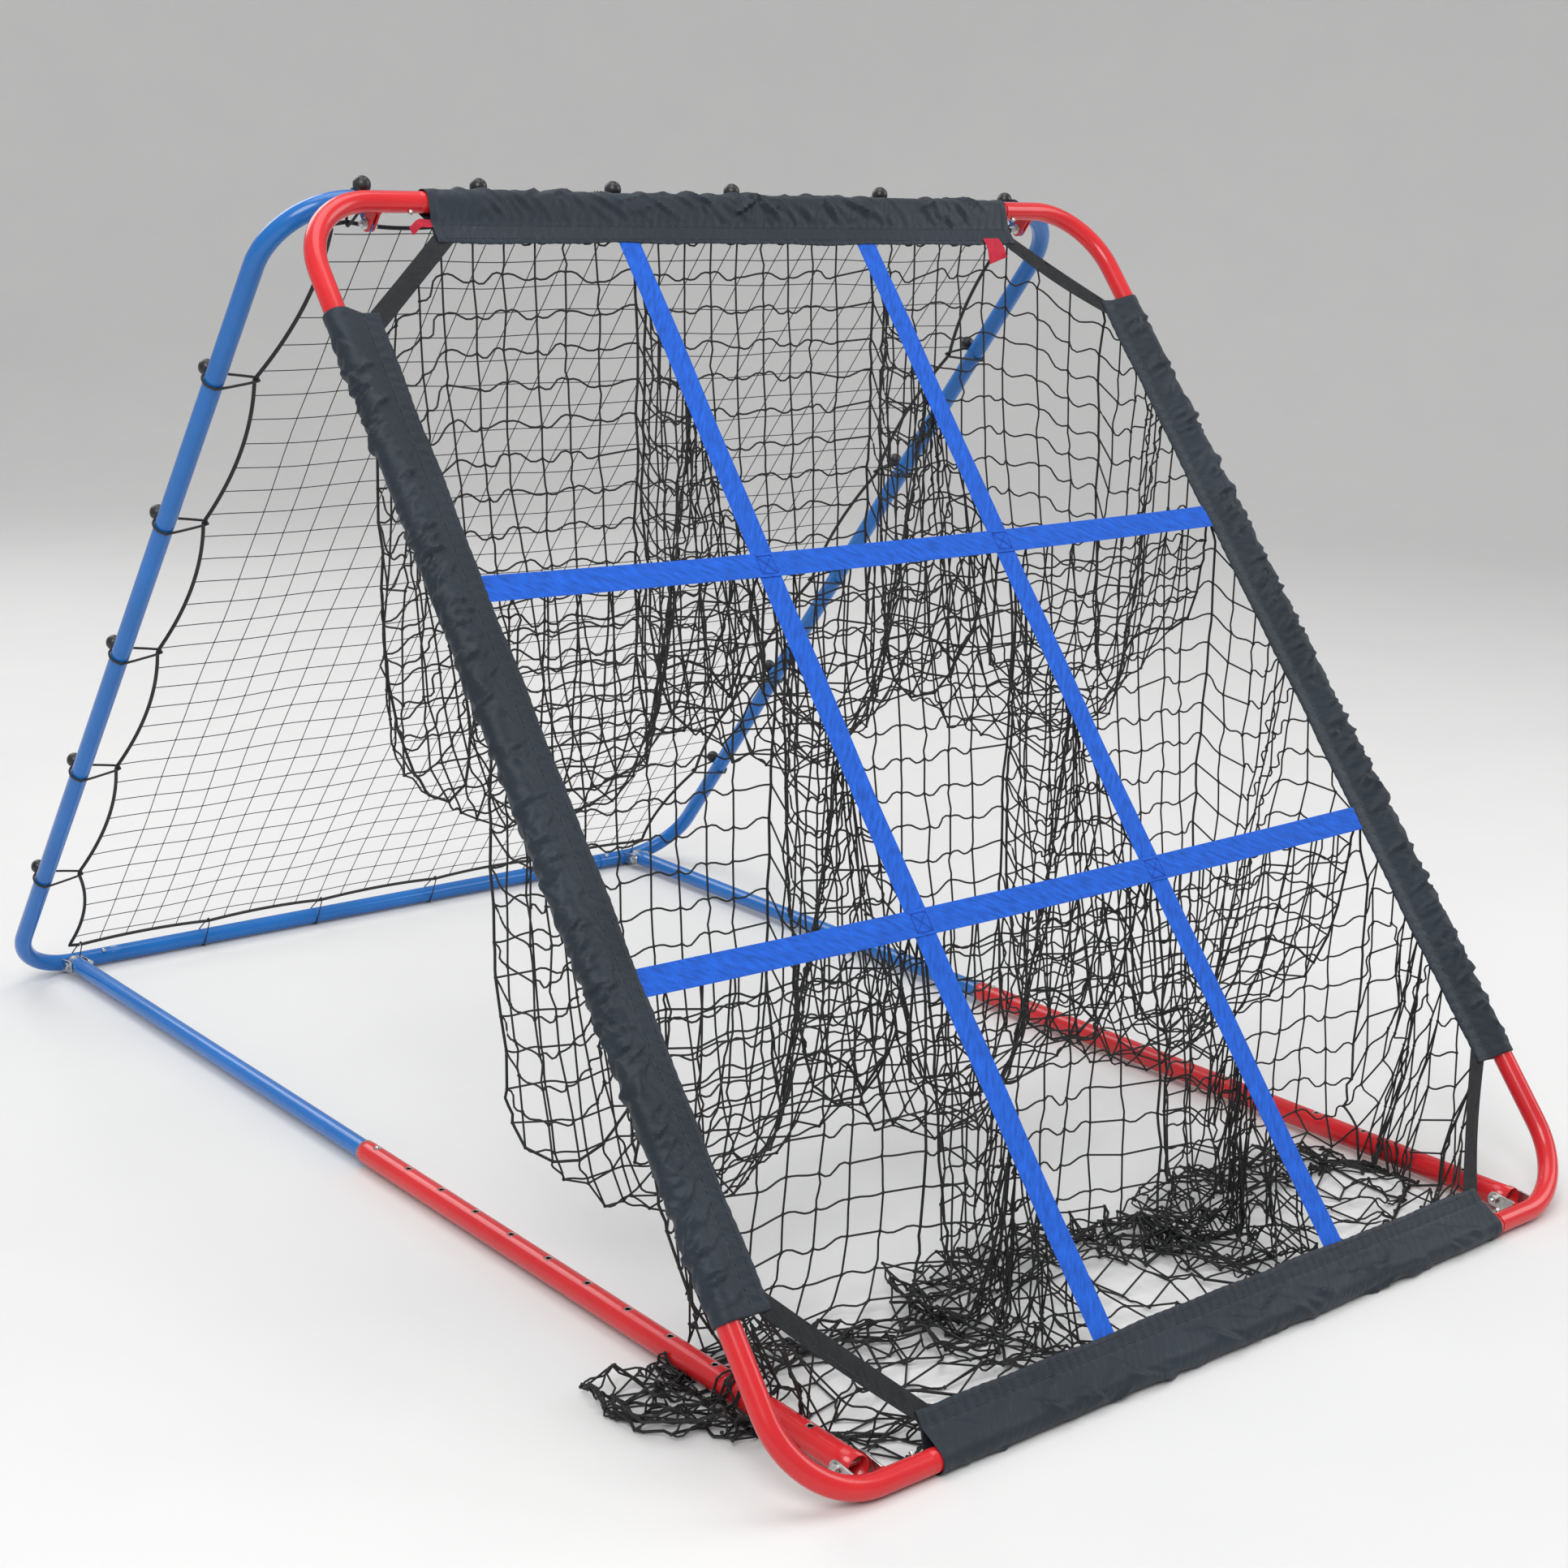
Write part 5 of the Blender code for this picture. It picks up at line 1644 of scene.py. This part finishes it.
@dataclass
class Wall:
    """A side wall of a bag.

    Attributes:
        points: its own knots.
        held: whether each is sewn to the border.
        head: the held knot above each.
        down: each knot's distance below that.
        ties: the knots that hanging pieces join.
        levels: the knots that level pieces join.
        parity: whether each level piece is odd in its row.
    """

    points: Array
    held: Array
    head: Array
    down: Array
    ties: Array
    levels: Array
    parity: Array


@dataclass
class Pocket:
    """One net bag as a web of knots: a sheet down the back, under and up the front, and two side walls."""

    name: str
    left: float
    right: float
    low: float
    high: float
    back_cells: int
    floor_cells: int
    front_cells: int
    spread: float = 0.0
    lean: float = 0.0
    floor_share: float = 1.0
    heap_height: float = 0.034
    columns: int = 9
    mesh: float = 0.050
    back_off: float = 0.005
    jitter: float = 0.006
    wall_fold: float = 0.022
    lean_height: float = 0.45
    sway: float = 0.05
    sway_pitch: float = 0.30
    spread_x: tuple = (0.45, 0.15)
    spread_y: tuple = (-1.04, 0.08)
    spread_pitch: float = 0.56
    slack: float = 1.12
    gathered: float = 0.20
    gather_rows: int = 6
    uneven: tuple = (0.97, 1.04)

    def top_edge(self, x: Array) -> Array:
        """Height of the mouth's upper edge, cut off by the corner straps."""
        cut = (np.abs(x) - TOP_COVER_HALF) / (SIDE_TIP - TOP_COVER_HALF)
        strap = TOP_TIP + (SIDE_COVER_HIGH - TOP_TIP) * cut + 0.006
        return np.where((cut > 0) & (strap < self.high), strap, self.high)

    def low_edge(self, x: Array) -> Array:
        """Height of the mouth's lower edge, cut off by the corner straps."""
        cut = (np.abs(x) - BOTTOM_COVER_HALF) / (SIDE_TIP - BOTTOM_COVER_HALF)
        strap = BOTTOM_TIP + (SIDE_COVER_LOW - BOTTOM_TIP) * cut - 0.006
        return np.where((cut > 0) & (strap > self.low), strap, self.low)

    def wall(self, x: float, outward: float, edge: Array, total: int) -> Wall:
        """A side wall: columns that hang from the mouth's slanting edge to the sheet's edge knots.

        Args:
            x: its place across the frame.
            outward: the sense of its folds.
            edge: the sheet's knots on this side, down the back and on up the front.
            total: how many knots come before its own.

        Returns:
            The wall.
        """
        nb, nm, nf = self.back_cells, self.floor_cells, self.front_cells
        k = np.arange(nb + 1)
        column = np.arange(nm + 1)
        tall = np.rint(nf + (nb - nf) * column / nm).astype(int)
        table = np.full((nm + 1, nb + 1), -1)
        table[0, :nf + 1] = edge[nb + nm:]
        table[nm] = edge[nb - k]
        table[:, 0] = edge[nb + nm - column]
        inside = (k >= 1) & (k <= tall[:, None])
        inside[[0, nm]] = False
        count = int(inside.sum())
        table[inside] = total + np.arange(count)
        j, k_in = np.nonzero(inside)
        low_up = float(self.low_edge(x))
        high_up = float(self.top_edge(x))
        crowd = 0.10 if abs(x) > 0.5 else 0.135
        up = low_up + (high_up - low_up) * (j / nm + crowd * np.sin(2 * np.pi * j / nm))
        pin = FRONT.hang(np.full(count, x), up, self.back_off)
        down = (tall[j] - k_in) * self.mesh
        fold = self.wall_fold * np.sin(j * 2.2 + 0.25 * k_in) * np.minimum(down / 0.15, 1.0)
        points = pin + np.stack([fold * outward, np.zeros(count), -down], axis=-1)
        a, b = table[1:nm, :-1], table[1:nm, 1:]
        good = (a >= 0) & (b >= 0)
        ties = np.stack([a[good], b[good]], axis=-1)
        a, b = table[:-1, 1:], table[1:, 1:]
        good = (a >= 0) & (b >= 0)
        levels = np.stack([a[good], b[good]], axis=-1)
        head = table[column, tall][j]
        return Wall(points, k_in == tall[j], head, down, ties, levels, np.nonzero(good)[0] % 2)

    def laid(self, knots: Array, held: Array, rng: np.random.Generator) -> tuple[Array, Array, Array]:
        """Knots at the start, with those that hang below the ground laid out on it.

        They are put off a little at random, lean to one side the lower they are, lie to and fro along Y, and
        stay inside the base tube. In a bag that spreads, its outer part is led out past the tube to a heap.

        Args:
            knots: the knots of the straight bag.
            held: whether each is sewn to the border.
            rng: source of the offsets.

        Returns:
            The knots, the height that each comes to lie at, and whether it lies in the heap.
        """
        knots = knots + rng.normal(0, self.jitter, knots.shape) * (~held)[:, None]
        under = np.maximum(-knots[:, 2], 0.0)
        knots[:, 0] += self.lean * (~held) * np.clip(1 - knots[:, 2] / self.lean_height, 0.0, 1.0)
        knots[:, 1] -= self.sway * (1 - np.cos(2 * np.pi * under / self.sway_pitch))
        side = np.abs(knots[:, 0])
        side = np.where(held, side, np.minimum(side, inside_base(knots[:, 2])))
        outer = ramp(side, *self.spread_x) * ramp(knots[:, 1], *self.spread_y)
        side = side + self.spread * outer * np.abs(np.sin(np.pi * under / self.spread_pitch))
        heap = (side > BASE_X) & (under > 0.0)
        side = np.where(heap, np.maximum(side, HEAP_X), side)
        knots[:, 0] = np.copysign(side, knots[:, 0])
        clear = ramp(np.abs(side - BASE_X), 0.05, 0.03)
        ground = GROUND_Z + self.heap_height * clear * rng.uniform(0, 1, len(side)) ** 1.5
        knots[:, 2] = np.maximum(knots[:, 2], ground)
        return knots, ground, heap

    def weave(self, rng: np.random.Generator) -> Web:
        """The bag's knots at the start, and what ties them.

        Rows of the main sheet run down the back, forward under the bag and up the front. The side walls share
        the sheet's edge knots.

        Args:
            rng: source of the small uneven parts.

        Returns:
            The web.
        """
        nb, nm, nf = self.back_cells, self.floor_cells, self.front_cells
        rows = nb + nm + nf
        x = np.linspace(self.left, self.right, self.columns + 1)
        top = FRONT.hang(x, self.top_edge(x), self.back_off)
        low = FRONT.hang(x, self.low_edge(x), self.back_off)
        lift = (self.high - self.top_edge(x)) * COS
        step = (nb * self.mesh - lift * 0.8) / (nb * self.mesh) * self.mesh
        level = np.arange(rows + 1)
        i = level[:, None, None]
        back = top - step[:, None] * Z_AXIS * np.minimum(i, nb)
        foot = low - self.mesh * Z_AXIS * nf
        share = np.clip((i - nb) / nm, 0, 1)
        sheet = back + (foot - back) * share + self.mesh * Z_AXIS * np.maximum(i - nb - nm, 0)
        grid = np.arange((rows + 1) * (self.columns + 1)).reshape(rows + 1, -1)
        walls = [self.wall(x[0], -1.0, grid[:, 0], grid.size)]
        walls.append(self.wall(x[-1], 1.0, grid[:, -1], grid.size + len(walls[0].points)))
        sewn = np.zeros(grid.size, bool)
        sewn[grid[[0, -1]].ravel()] = True
        held = np.concatenate([sewn, *(w.held for w in walls)])
        on_floor = (level[:-1, None] >= nb) & (level[:-1, None] < nb + nm)
        row_length = np.where(on_floor, self.floor_share, 1.0) * step
        reach_top = np.concatenate([np.zeros((1, len(x))), np.cumsum(row_length, axis=0)])
        reach_low = reach_top[-1] - reach_top
        heads = np.stack([np.tile(grid[0], rows + 1), np.tile(grid[-1], rows + 1)], axis=-1)
        anchors = np.concatenate([heads, *(np.stack([w.head, w.head], axis=-1) for w in walls)])
        reaches = np.concatenate([np.stack([reach_top.ravel(), reach_low.ravel()], axis=-1),
                                  *(np.stack([w.down, w.down], axis=-1) + 1e-4 for w in walls)])
        hang = np.stack([grid[:-1], grid[1:]], axis=-1).reshape(-1, 2)
        cross = np.stack([grid[:, :-1], grid[:, 1:]], axis=-1).reshape(-1, 2)
        past_floor = np.abs(level - nb - nm / 2)
        drawn = np.clip((nm / 2 + self.gather_rows - past_floor) / self.gather_rows, 0.0, 1.0)
        gaps = np.maximum(np.diff(x), np.linalg.norm(np.diff(top, axis=0), axis=1) * 0.98)
        cross_length = (self.slack - self.gathered * drawn)[:, None] * gaps
        ties = np.concatenate([hang, *(w.ties for w in walls)])
        levels = np.concatenate([cross, *(w.levels for w in walls)])
        lengths = np.full(len(ties) + len(levels), self.mesh)
        lengths[:len(hang)] = row_length.ravel()
        lengths[len(ties):len(ties) + len(cross)] = cross_length.ravel()
        parity = np.concatenate([np.tile(np.arange(self.columns) % 2, rows + 1), *(w.parity for w in walls)])
        straight = np.concatenate([sheet.reshape(-1, 3), *(w.points for w in walls)])
        points, ground, heap = self.laid(straight, held, rng)
        lengths = lengths * rng.uniform(*self.uneven, len(lengths))
        return Web(points, held, np.concatenate([ties, levels]), lengths, len(ties), anchors, reaches * 1.01,
                   parity, grid, ground, heap)


@dataclass
class PocketNets:
    """The nine net pockets behind the target grid."""

    strand_r: float = 0.0015
    edge_r: float = 0.0021
    knot_r: float = 0.0030
    sewn_in: float = 0.009
    strap_gap: float = 0.006
    deepest: float = 0.014
    sag_share: float = 0.35
    stagger: float = 0.0032
    jitter: float = 0.0016
    bend_zone: tuple = (0.012, 0.080)

    def pockets(self) -> list[Pocket]:
        """The nine bags with their mouths.

        Returns:
            The bags, row by row from the bottom.
        """
        edges_x = (-SIDE_TIP - self.sewn_in, -STRAP_COLUMN_X, STRAP_COLUMN_X, SIDE_TIP + self.sewn_in)
        edges_up = (BOTTOM_TIP - 0.010, *STRAP_ROWS, TOP_TIP + self.sewn_in)
        cells = {"bottom": (19, 10, 3), "middle": (14, 9, 5), "top": (13, 9, 4)}
        falls = {"bottom": (-0.10, 1.0), "middle": (0.0, 0.80), "top": (0.0, 0.80)}
        spreads = {"pocket_bottom_left": 0.17}
        gap = self.strap_gap
        made = []
        for row, row_name in enumerate(cells):
            for column, column_name in enumerate(("left", "centre", "right")):
                name = f"pocket_{row_name}_{column_name}"
                lean, floor_share = falls[row_name]
                made.append(Pocket(
                    name, edges_x[column] + gap * (column > 0), edges_x[column + 1] - gap * (column < 2),
                    edges_up[row] + gap * (row > 0), edges_up[row + 1] - gap * (row < 2), *cells[row_name],
                    spread=spreads.get(name, 0.0), lean=lean, floor_share=floor_share))
        return made

    def strands(self, points: Array, pairs: Array, lengths: Array, bend: Array, swing: Array, steps: int,
                radius: float, guide: Array) -> Skin:
        """Twine from knot to knot: a line bent into an S and a sag, as far as its spare length allows.

        The S is a full sine over the span, with an amplitude of span / pi * sqrt(length / span - 1).

        Args:
            points: knots.
            pairs: knots that a piece of twine joins.
            lengths: its lengths.
            bend: the direction of its bends.
            swing: share and sense of the S, from -1 to 1.
            steps: points on each piece.
            radius: half its thickness.
            guide: a direction that no piece runs along.

        Returns:
            The skin of all the pieces.
        """
        start = points[pairs[:, 0]]
        chord = points[pairs[:, 1]] - start
        span = np.maximum(np.linalg.norm(chord, axis=1), 1e-4)
        slack = np.sqrt(np.maximum(lengths / span - 1.0, 0.0))
        depth = np.minimum(span / np.pi * slack, self.deepest)
        along = chord / span[:, None]
        side = unit(bend - (bend * along).sum(axis=1, keepdims=True) * along)
        s = np.linspace(0, 1, steps)
        wave = (depth * swing)[:, None] * np.sin(2 * np.pi * s)
        wave = wave - (depth * self.sag_share)[:, None] * np.sin(np.pi * s)
        path = start[:, None] + chord[:, None] * s[:, None] + side[:, None] * wave[..., None]
        path[..., 2] = np.maximum(path[..., 2], radius)
        grounded = np.maximum(start[:, 2], start[:, 2] + chord[:, 2]) < 0.010
        path[grounded, :, 2] = np.minimum(path[grounded, :, 2], 0.0042)
        path = round_base(path, radius + BASE_GAP)
        return carried(path, circle(radius, 5), guide)

    def skin(self, web: Web, points: Array, rng: np.random.Generator) -> Skin:
        """All the strands and knots of one settled bag.

        Args:
            web: the bag's web.
            points: its knots as they have settled.
            rng: source of the twine's bends.

        Returns:
            The bag's skin.
        """
        loose = (~web.held).astype(float)[:, None]
        lift = np.zeros(len(points))
        lift[web.grid] = np.where(np.arange(web.grid.shape[1]) % 2, self.stagger, -self.stagger)
        flat = points[:, 2] < 0.008
        points = points + loose * (rng.normal(0, self.jitter, points.shape) + lift[:, None] * Z_AXIS)
        points[:, 2] = np.where(flat, GROUND_Z, np.maximum(points[:, 2], self.knot_r))
        points = clear_of_base(points, self.strand_r + BASE_GAP)
        hung, level = web.pairs[:web.tied], web.pairs[web.tied:]
        hung_lengths, level_lengths = web.lengths[:web.tied], web.lengths[web.tied:]
        bend = Z_AXIS + rng.normal(0, 0.35, (len(level), 3))
        sense = np.where(web.parity == 1, 1.0, -1.0) * rng.uniform(0.5, 1.1, len(level))
        odd_guide = np.array((0.05, 0.65, 0.76))
        skins = [self.strands(points, level, level_lengths, bend, sense, 7, self.strand_r, odd_guide)]
        on_edge = np.isin(hung, web.grid[:, [0, -1]]).all(axis=1)
        for chosen, radius in ((~on_edge, self.strand_r), (on_edge, self.edge_r)):
            count = int(chosen.sum())
            bend = rng.normal(0, 1.0, (count, 3)) * (1.0, 1.0, 0.2)
            swing = rng.uniform(-1.0, 1.0, count)
            skins.append(self.strands(points, hung[chosen], hung_lengths[chosen] * 1.004, bend, swing, 5,
                                      radius, X_AXIS + 0.02 * Z_AXIS))
        skins.append(beads(points, self.knot_r))
        return Skin.joined(skins)

    def build(self, shop: Workshop) -> None:
        """Settle and draw the nine bags; the bottom ones, which lie on the ground by the base, are tied to no
        body.

        Args:
            shop: where the pieces are added.
        """
        for number, pocket in enumerate(self.pockets()):
            rng = np.random.default_rng(100 + number)
            web = pocket.weave(rng)
            points = web.settled()
            fold = None
            if pocket.name.startswith("pocket_bottom"):
                base = "base_outer_right" if pocket.name.endswith("right") else "base_outer_left"
                ends = (tuple(FRONT.place(0.0, 0.3, behind).tolist()) for behind in self.bend_zone)
                fold = ("front_frame", base, *ends)
            shop.add(f"{pocket.name}_net", self.skin(web, points, rng), NET_TWINE, pocket.name, fold=fold)


# Rebound net

@dataclass
class ReboundNet:
    """The tensioned net of the back frame with its edge cords, bungees, balls and ties."""

    mesh: float = 0.050
    strand_r: float = 0.0008
    cord_r: float = 0.003
    bungee_r: float = 0.002
    tie_r: float = 0.0011
    ball_r: float = 0.0125
    side_places: tuple = (0.056, 0.285, 0.58, 0.875, 1.17, 1.465, 1.751)
    side_reach: float = 0.682
    corner_reach: float = 0.648
    side_sag: float = 0.020
    top_places: tuple = (-0.625, -0.44, -0.21, 0.01, 0.31, 0.625)
    top_edge: float = 1.755
    top_sag: float = 0.010
    bottom_places: tuple = (-0.625, -0.37, -0.13, 0.13, 0.37, 0.625)
    bottom_edge: float = 0.052
    bottom_sag: float = 0.008
    cord_end: float = 0.628
    unevenness: float = 0.0022
    tube_gap: float = 0.0003

    @staticmethod
    def scallop(places: Array, depths: Array, sag: float, at: Array) -> Array:
        """Distance of the cord: straight from anchor to anchor, less four sag times the span's two shares."""
        at = np.clip(at, places[0], places[-1])
        k = np.clip(np.searchsorted(places, at, "right") - 1, 0, len(places) - 2)
        share = (at - places[k]) / (places[k + 1] - places[k])
        return depths[k] + (depths[k + 1] - depths[k]) * share - 4 * sag * share * (1 - share)

    def side(self, up: Array) -> Array:
        """Half the width between the side cords."""
        inner = len(self.side_places) - 2
        depths = np.array((self.corner_reach, *[self.side_reach] * inner, self.corner_reach))
        return self.scallop(np.array(self.side_places), depths, self.side_sag, up)

    def top(self, x: Array) -> Array:
        """Height of the top cord."""
        places = np.array(self.top_places)
        return self.scallop(places, np.full(len(places), self.top_edge), self.top_sag, x)

    def bottom(self, x: Array) -> Array:
        """Height of the bottom cord."""
        places = np.array(self.bottom_places)
        return -self.scallop(places, np.full(len(places), -self.bottom_edge), self.bottom_sag, x)

    def give(self, points: Array) -> Array:
        """The net's small unevenness: a smooth drift of its strands in and out of its plane."""
        return points + ripple(points, pitch=0.34, seed=61) * self.unevenness

    def net(self) -> Skin:
        """Level and rising strands that end on the cords, with a knot where they cross.

        Returns:
            The strands and knots.
        """
        x = np.arange(-12, 13) * self.mesh + 0.012
        s = np.linspace(0, 1, 70)
        low, high = self.bottom(x), self.top(x)
        up = low[:, None] + (high - low)[:, None] * s
        rising = self.give(BACK.place(x[:, None], up))
        rows = np.arange(0.085, 1.745, self.mesh)
        reach = self.side(rows)
        level_x = reach[:, None] * np.linspace(-1, 1, 60)
        level = self.give(BACK.place(level_x, rows[:, None]) + 0.0006 * BACK.normal)
        cross_x, cross_up = (g.ravel() for g in np.meshgrid(x, rows, indexing="ij"))
        inside = np.abs(cross_x) < self.side(cross_up)
        knots = self.give(BACK.place(cross_x[inside], cross_up[inside]))
        ring = circle(self.strand_r, 5)
        return Skin.joined([carried(rising, ring, BACK.normal), carried(level, ring, BACK.normal),
                            beads(knots, self.strand_r * 1.9, 4)])

    def cord_line(self, name: str) -> Array:
        """The centre line of one edge cord; the side cords run on to meet the others.

        Args:
            name: left, right, top or bottom.

        Returns:
            The line's points.
        """
        if name in SIDE_SIGN:
            side = SIDE_SIGN[name]
            up = np.linspace(self.side_places[0], self.side_places[-1], 190)
            ends = BACK.place(side * self.cord_end, np.array((self.bottom_edge, self.top_edge)))
            return np.concatenate([ends[:1], BACK.place(side * self.side(up), up), ends[1:]])
        x = np.linspace(self.top_places[0], self.top_places[-1], 170)
        return BACK.place(x, self.top(x) if name == "top" else self.bottom(x))

    def loop(self, tube: Array, toward: Array, reach: float, radius: float) -> Array:
        """An elastic's line: half round the tube, then in to the edge cord, round it and back.

        Args:
            tube: the centre of the tube.
            toward: the direction from it to the cord.
            reach: the distance to the cord.
            radius: half the elastic's thickness.

        Returns:
            The points of the closed line.
        """
        turn = np.radians(np.arange(-90, 91, 22.5))
        r = TUBE_R + self.tube_gap + radius
        around = tube + r * (np.sin(turn)[:, None] * BACK.normal - np.cos(turn)[:, None] * toward)
        waist = self.cord_r + radius
        turn = np.radians((80.0, 0.0, -80.0))
        hook = np.sin(turn)[:, None] * BACK.normal + np.cos(turn)[:, None] * toward
        tip = tube + toward * reach + waist * hook
        return rounded(np.concatenate([around, tip]), 3, closed=True)

    def ball(self, centre: Array, axis: Array) -> Skin:
        """A moulded ball: a turned half circle with a low seam round its middle and a dimple at each end.

        Args:
            centre: its middle.
            axis: the line that it is turned about.

        Returns:
            The ball.
        """
        angle = np.linspace(0.10, np.pi - 0.10, 19)
        swell = 1.0 + 0.02 * np.exp(-((angle - np.pi / 2) / 0.09) ** 2)
        stations = -self.ball_r * np.cos(angle) * swell
        radii = self.ball_r * np.sin(angle) * swell
        stations[[0, -1]] *= 0.90
        return turned(stations, radii[:, None], centre, axis)

    def hangers(self, name: str) -> list[tuple[Array, Array, float, Array]]:
        """The hangers on one side of the net.

        Args:
            name: left, right, top or bottom.

        Returns:
            Tube point, direction to the cord, reach and ball direction of each.
        """
        if name in SIDE_SIGN:
            side = SIDE_SIGN[name]
            reach = HALF_WIDTH - self.side_reach
            return [(BACK.place(side * HALF_WIDTH, up), -side * X_AXIS, reach, -BACK.normal)
                    for up in self.side_places[1:-1]]
        if name == "top":
            return [(BACK.place(x, FRAME_LENGTH), -BACK.rise, FRAME_LENGTH - self.top_edge,
                     -BACK.normal if x == self.top_places[-1] else BACK.rise) for x in self.top_places]
        return [(BACK.place(x, 0.0), BACK.rise, self.bottom_edge, BACK.rise) for x in self.bottom_places]

    def build(self, shop: Workshop) -> None:
        """Make the net, the four cords and what holds them.

        Args:
            shop: where the pieces are added.
        """
        shop.add("rebound_net_mesh", self.net(), FINE_TWINE, "rebound_net")
        for name in ("left", "right", "top", "bottom"):
            node = f"net_cord_{name}"
            cord = carried(self.cord_line(name)[None], circle(self.cord_r, 10), BACK.normal)
            shop.add(f"{node}_rope", cord, EDGE_ROPE, node)
            radius = self.tie_r if name == "bottom" else self.bungee_r
            hangers = self.hangers(name)
            guide = BACK.rise if name in SIDE_SIGN else X_AXIS
            lines = np.stack([self.loop(tube, toward, reach, radius) for tube, toward, reach, _ in hangers])
            loops = carried(lines, circle(radius, 8), guide, closed=True)
            shop.add(f"{node}_elastic", loops, ELASTIC, node, stands=False)
            if name != "bottom":
                balls = [self.ball(tube + out * (TUBE_R + self.tube_gap + self.ball_r), out)
                         for tube, _, _, out in hangers]
                shop.add(f"{node}_balls", Skin.joined(balls), BALL, node, stands=False)


# Studio

@dataclass(frozen=True)
class Lamp:
    """A large round light."""

    name: str
    place: tuple
    size: float
    power: float

    def build(self, target: Array) -> None:
        """Hang the lamp and turn it to the target.

        Args:
            target: the point that it lights.
        """
        data = bpy.data.lights.new(self.name, "AREA")
        data.shape = "DISK"
        data.size = self.size
        data.energy = self.power
        lamp = bpy.data.objects.new(self.name, data)
        aim = unit(target - np.array(self.place))
        tilt = math.acos(max(-1.0, min(1.0, -aim[2])))
        lamp.location = self.place
        lamp.rotation_euler = (tilt, 0.0, math.atan2(-aim[0], aim[1]))
        bpy.context.scene.collection.objects.link(lamp)


@dataclass
class Studio:
    """Plain pale floor that curves up all round, soft lights and the camera."""

    azimuth: float = -39.295
    elevation: float = 14.22
    roll: float = 1.401
    place: tuple = (-2.2765, -2.9501, 1.4578)
    lens: float = 54.667
    aim: tuple = (0.0, 0.0, 0.55)
    world_strength: float = 0.55
    flat_r: float = 7.0
    curve_r: float = 4.0
    wall_height: float = 9.0
    sides: int = 64

    def floor(self) -> None:
        """A round floor: flat to seven metres, then rising as a quarter circle and a wall."""
        flat = np.linspace(0.02, self.flat_r, 12)
        curve = np.radians(np.linspace(6, 90, 14))
        wall_r = self.flat_r + self.curve_r
        radius = np.concatenate([flat, self.flat_r + self.curve_r * np.sin(curve), [wall_r]])
        rise = self.curve_r - self.curve_r * np.cos(curve)
        height = np.concatenate([np.zeros(len(flat)), rise, [self.wall_height]])
        level = radius[:, None, None] * circle(1.0, self.sides)
        raised = np.broadcast_to(height[:, None, None], (*level.shape[:2], 1))
        points = np.concatenate([level, raised], axis=-1)
        skin = grid_skin(points[::-1][None], False, True)
        skin.faces.append((len(radius) - 1) * self.sides + np.arange(self.sides)[None])
        skin.uvs.append(np.zeros((1, self.sides, 2)))
        bench = Bench("pale_floor")
        mottle = bench.noise(3.0, 4.0)
        tone = bench.mix(mottle, (0.72, 0.72, 0.72, 1.0), (0.76, 0.76, 0.755, 1.0))
        mesh = skin.mesh("studio_floor")
        mesh.materials.append(bench.surface({"Base Color": tone, "Roughness": 0.85}))
        ground = bpy.data.objects.new("studio_floor", mesh)
        bpy.context.scene.collection.objects.link(ground)

    def lights(self) -> None:
        """A key from the upper left, a fill from the right, one behind and one above, under a pale world."""
        lamps = (Lamp("key", (-3.6, -3.4, 4.6), 3.2, 190.0), Lamp("fill", (4.2, -2.6, 3.2), 3.0, 70.0),
                 Lamp("rear", (-0.5, 5.2, 4.6), 3.6, 110.0), Lamp("top", (0.0, 0.0, 6.4), 4.5, 120.0))
        for lamp in lamps:
            lamp.build(np.array(self.aim))
        world = bpy.data.worlds.new("studio")
        world.use_nodes = True
        shade = world.node_tree.nodes["Background"]
        shade.inputs["Color"].default_value = (1.0, 1.0, 1.0, 1.0)
        shade.inputs["Strength"].default_value = self.world_strength
        bpy.context.scene.world = world

    def camera(self) -> None:
        """The camera, turned by azimuth, elevation and roll about its own place."""
        az, el, roll = (math.radians(d) for d in (self.azimuth, self.elevation, self.roll))
        ahead = np.array((-math.sin(az) * math.cos(el), math.cos(az) * math.cos(el), -math.sin(el)))
        right = unit(np.cross(ahead, Z_AXIS))
        up = np.cross(right, ahead)
        across = right * math.cos(roll) + up * math.sin(roll)
        above = up * math.cos(roll) - right * math.sin(roll)
        data = bpy.data.cameras.new("camera")
        data.lens = self.lens
        data.sensor_width = 36.0
        data.sensor_fit = "HORIZONTAL"
        eye = bpy.data.objects.new("camera", data)
        matrix = np.eye(4)
        matrix[:3] = np.stack([across, above, -ahead, np.array(self.place)], axis=1)
        eye.matrix_world = matrix.T
        bpy.context.scene.collection.objects.link(eye)
        bpy.context.scene.camera = eye

    def build(self) -> None:
        """Set the stage."""
        self.camera()
        self.floor()
        self.lights()
        bpy.context.scene.view_settings.view_transform = "Standard"


def main() -> None:
    """Load the frame and build every sub-assembly in order."""
    logging.basicConfig(level=logging.INFO, format="%(name)s %(message)s")
    for item in list(bpy.data.objects):
        bpy.data.objects.remove(item, do_unlink=True)
    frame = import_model()
    Studio().build()
    shop = Workshop(frame)
    TubeFrame("front", FRONT, RED_ENAMEL, hinge_offsets=(-0.0037, 0.0037), base_clear=0.0182).build(shop)
    TubeFrame("back", BACK, BLUE_ENAMEL, hinge_offsets=(0.0,), base_clear=0.0157).build(shop)
    Bolts().build(shop)
    BaseTubes().build(shop)
    Border().build(shop)
    TargetGrid().build(shop)
    PocketNets().build(shop)
    ReboundNet().build(shop)
    bpy.context.view_layer.update()


if __name__ == "__main__":
    main()
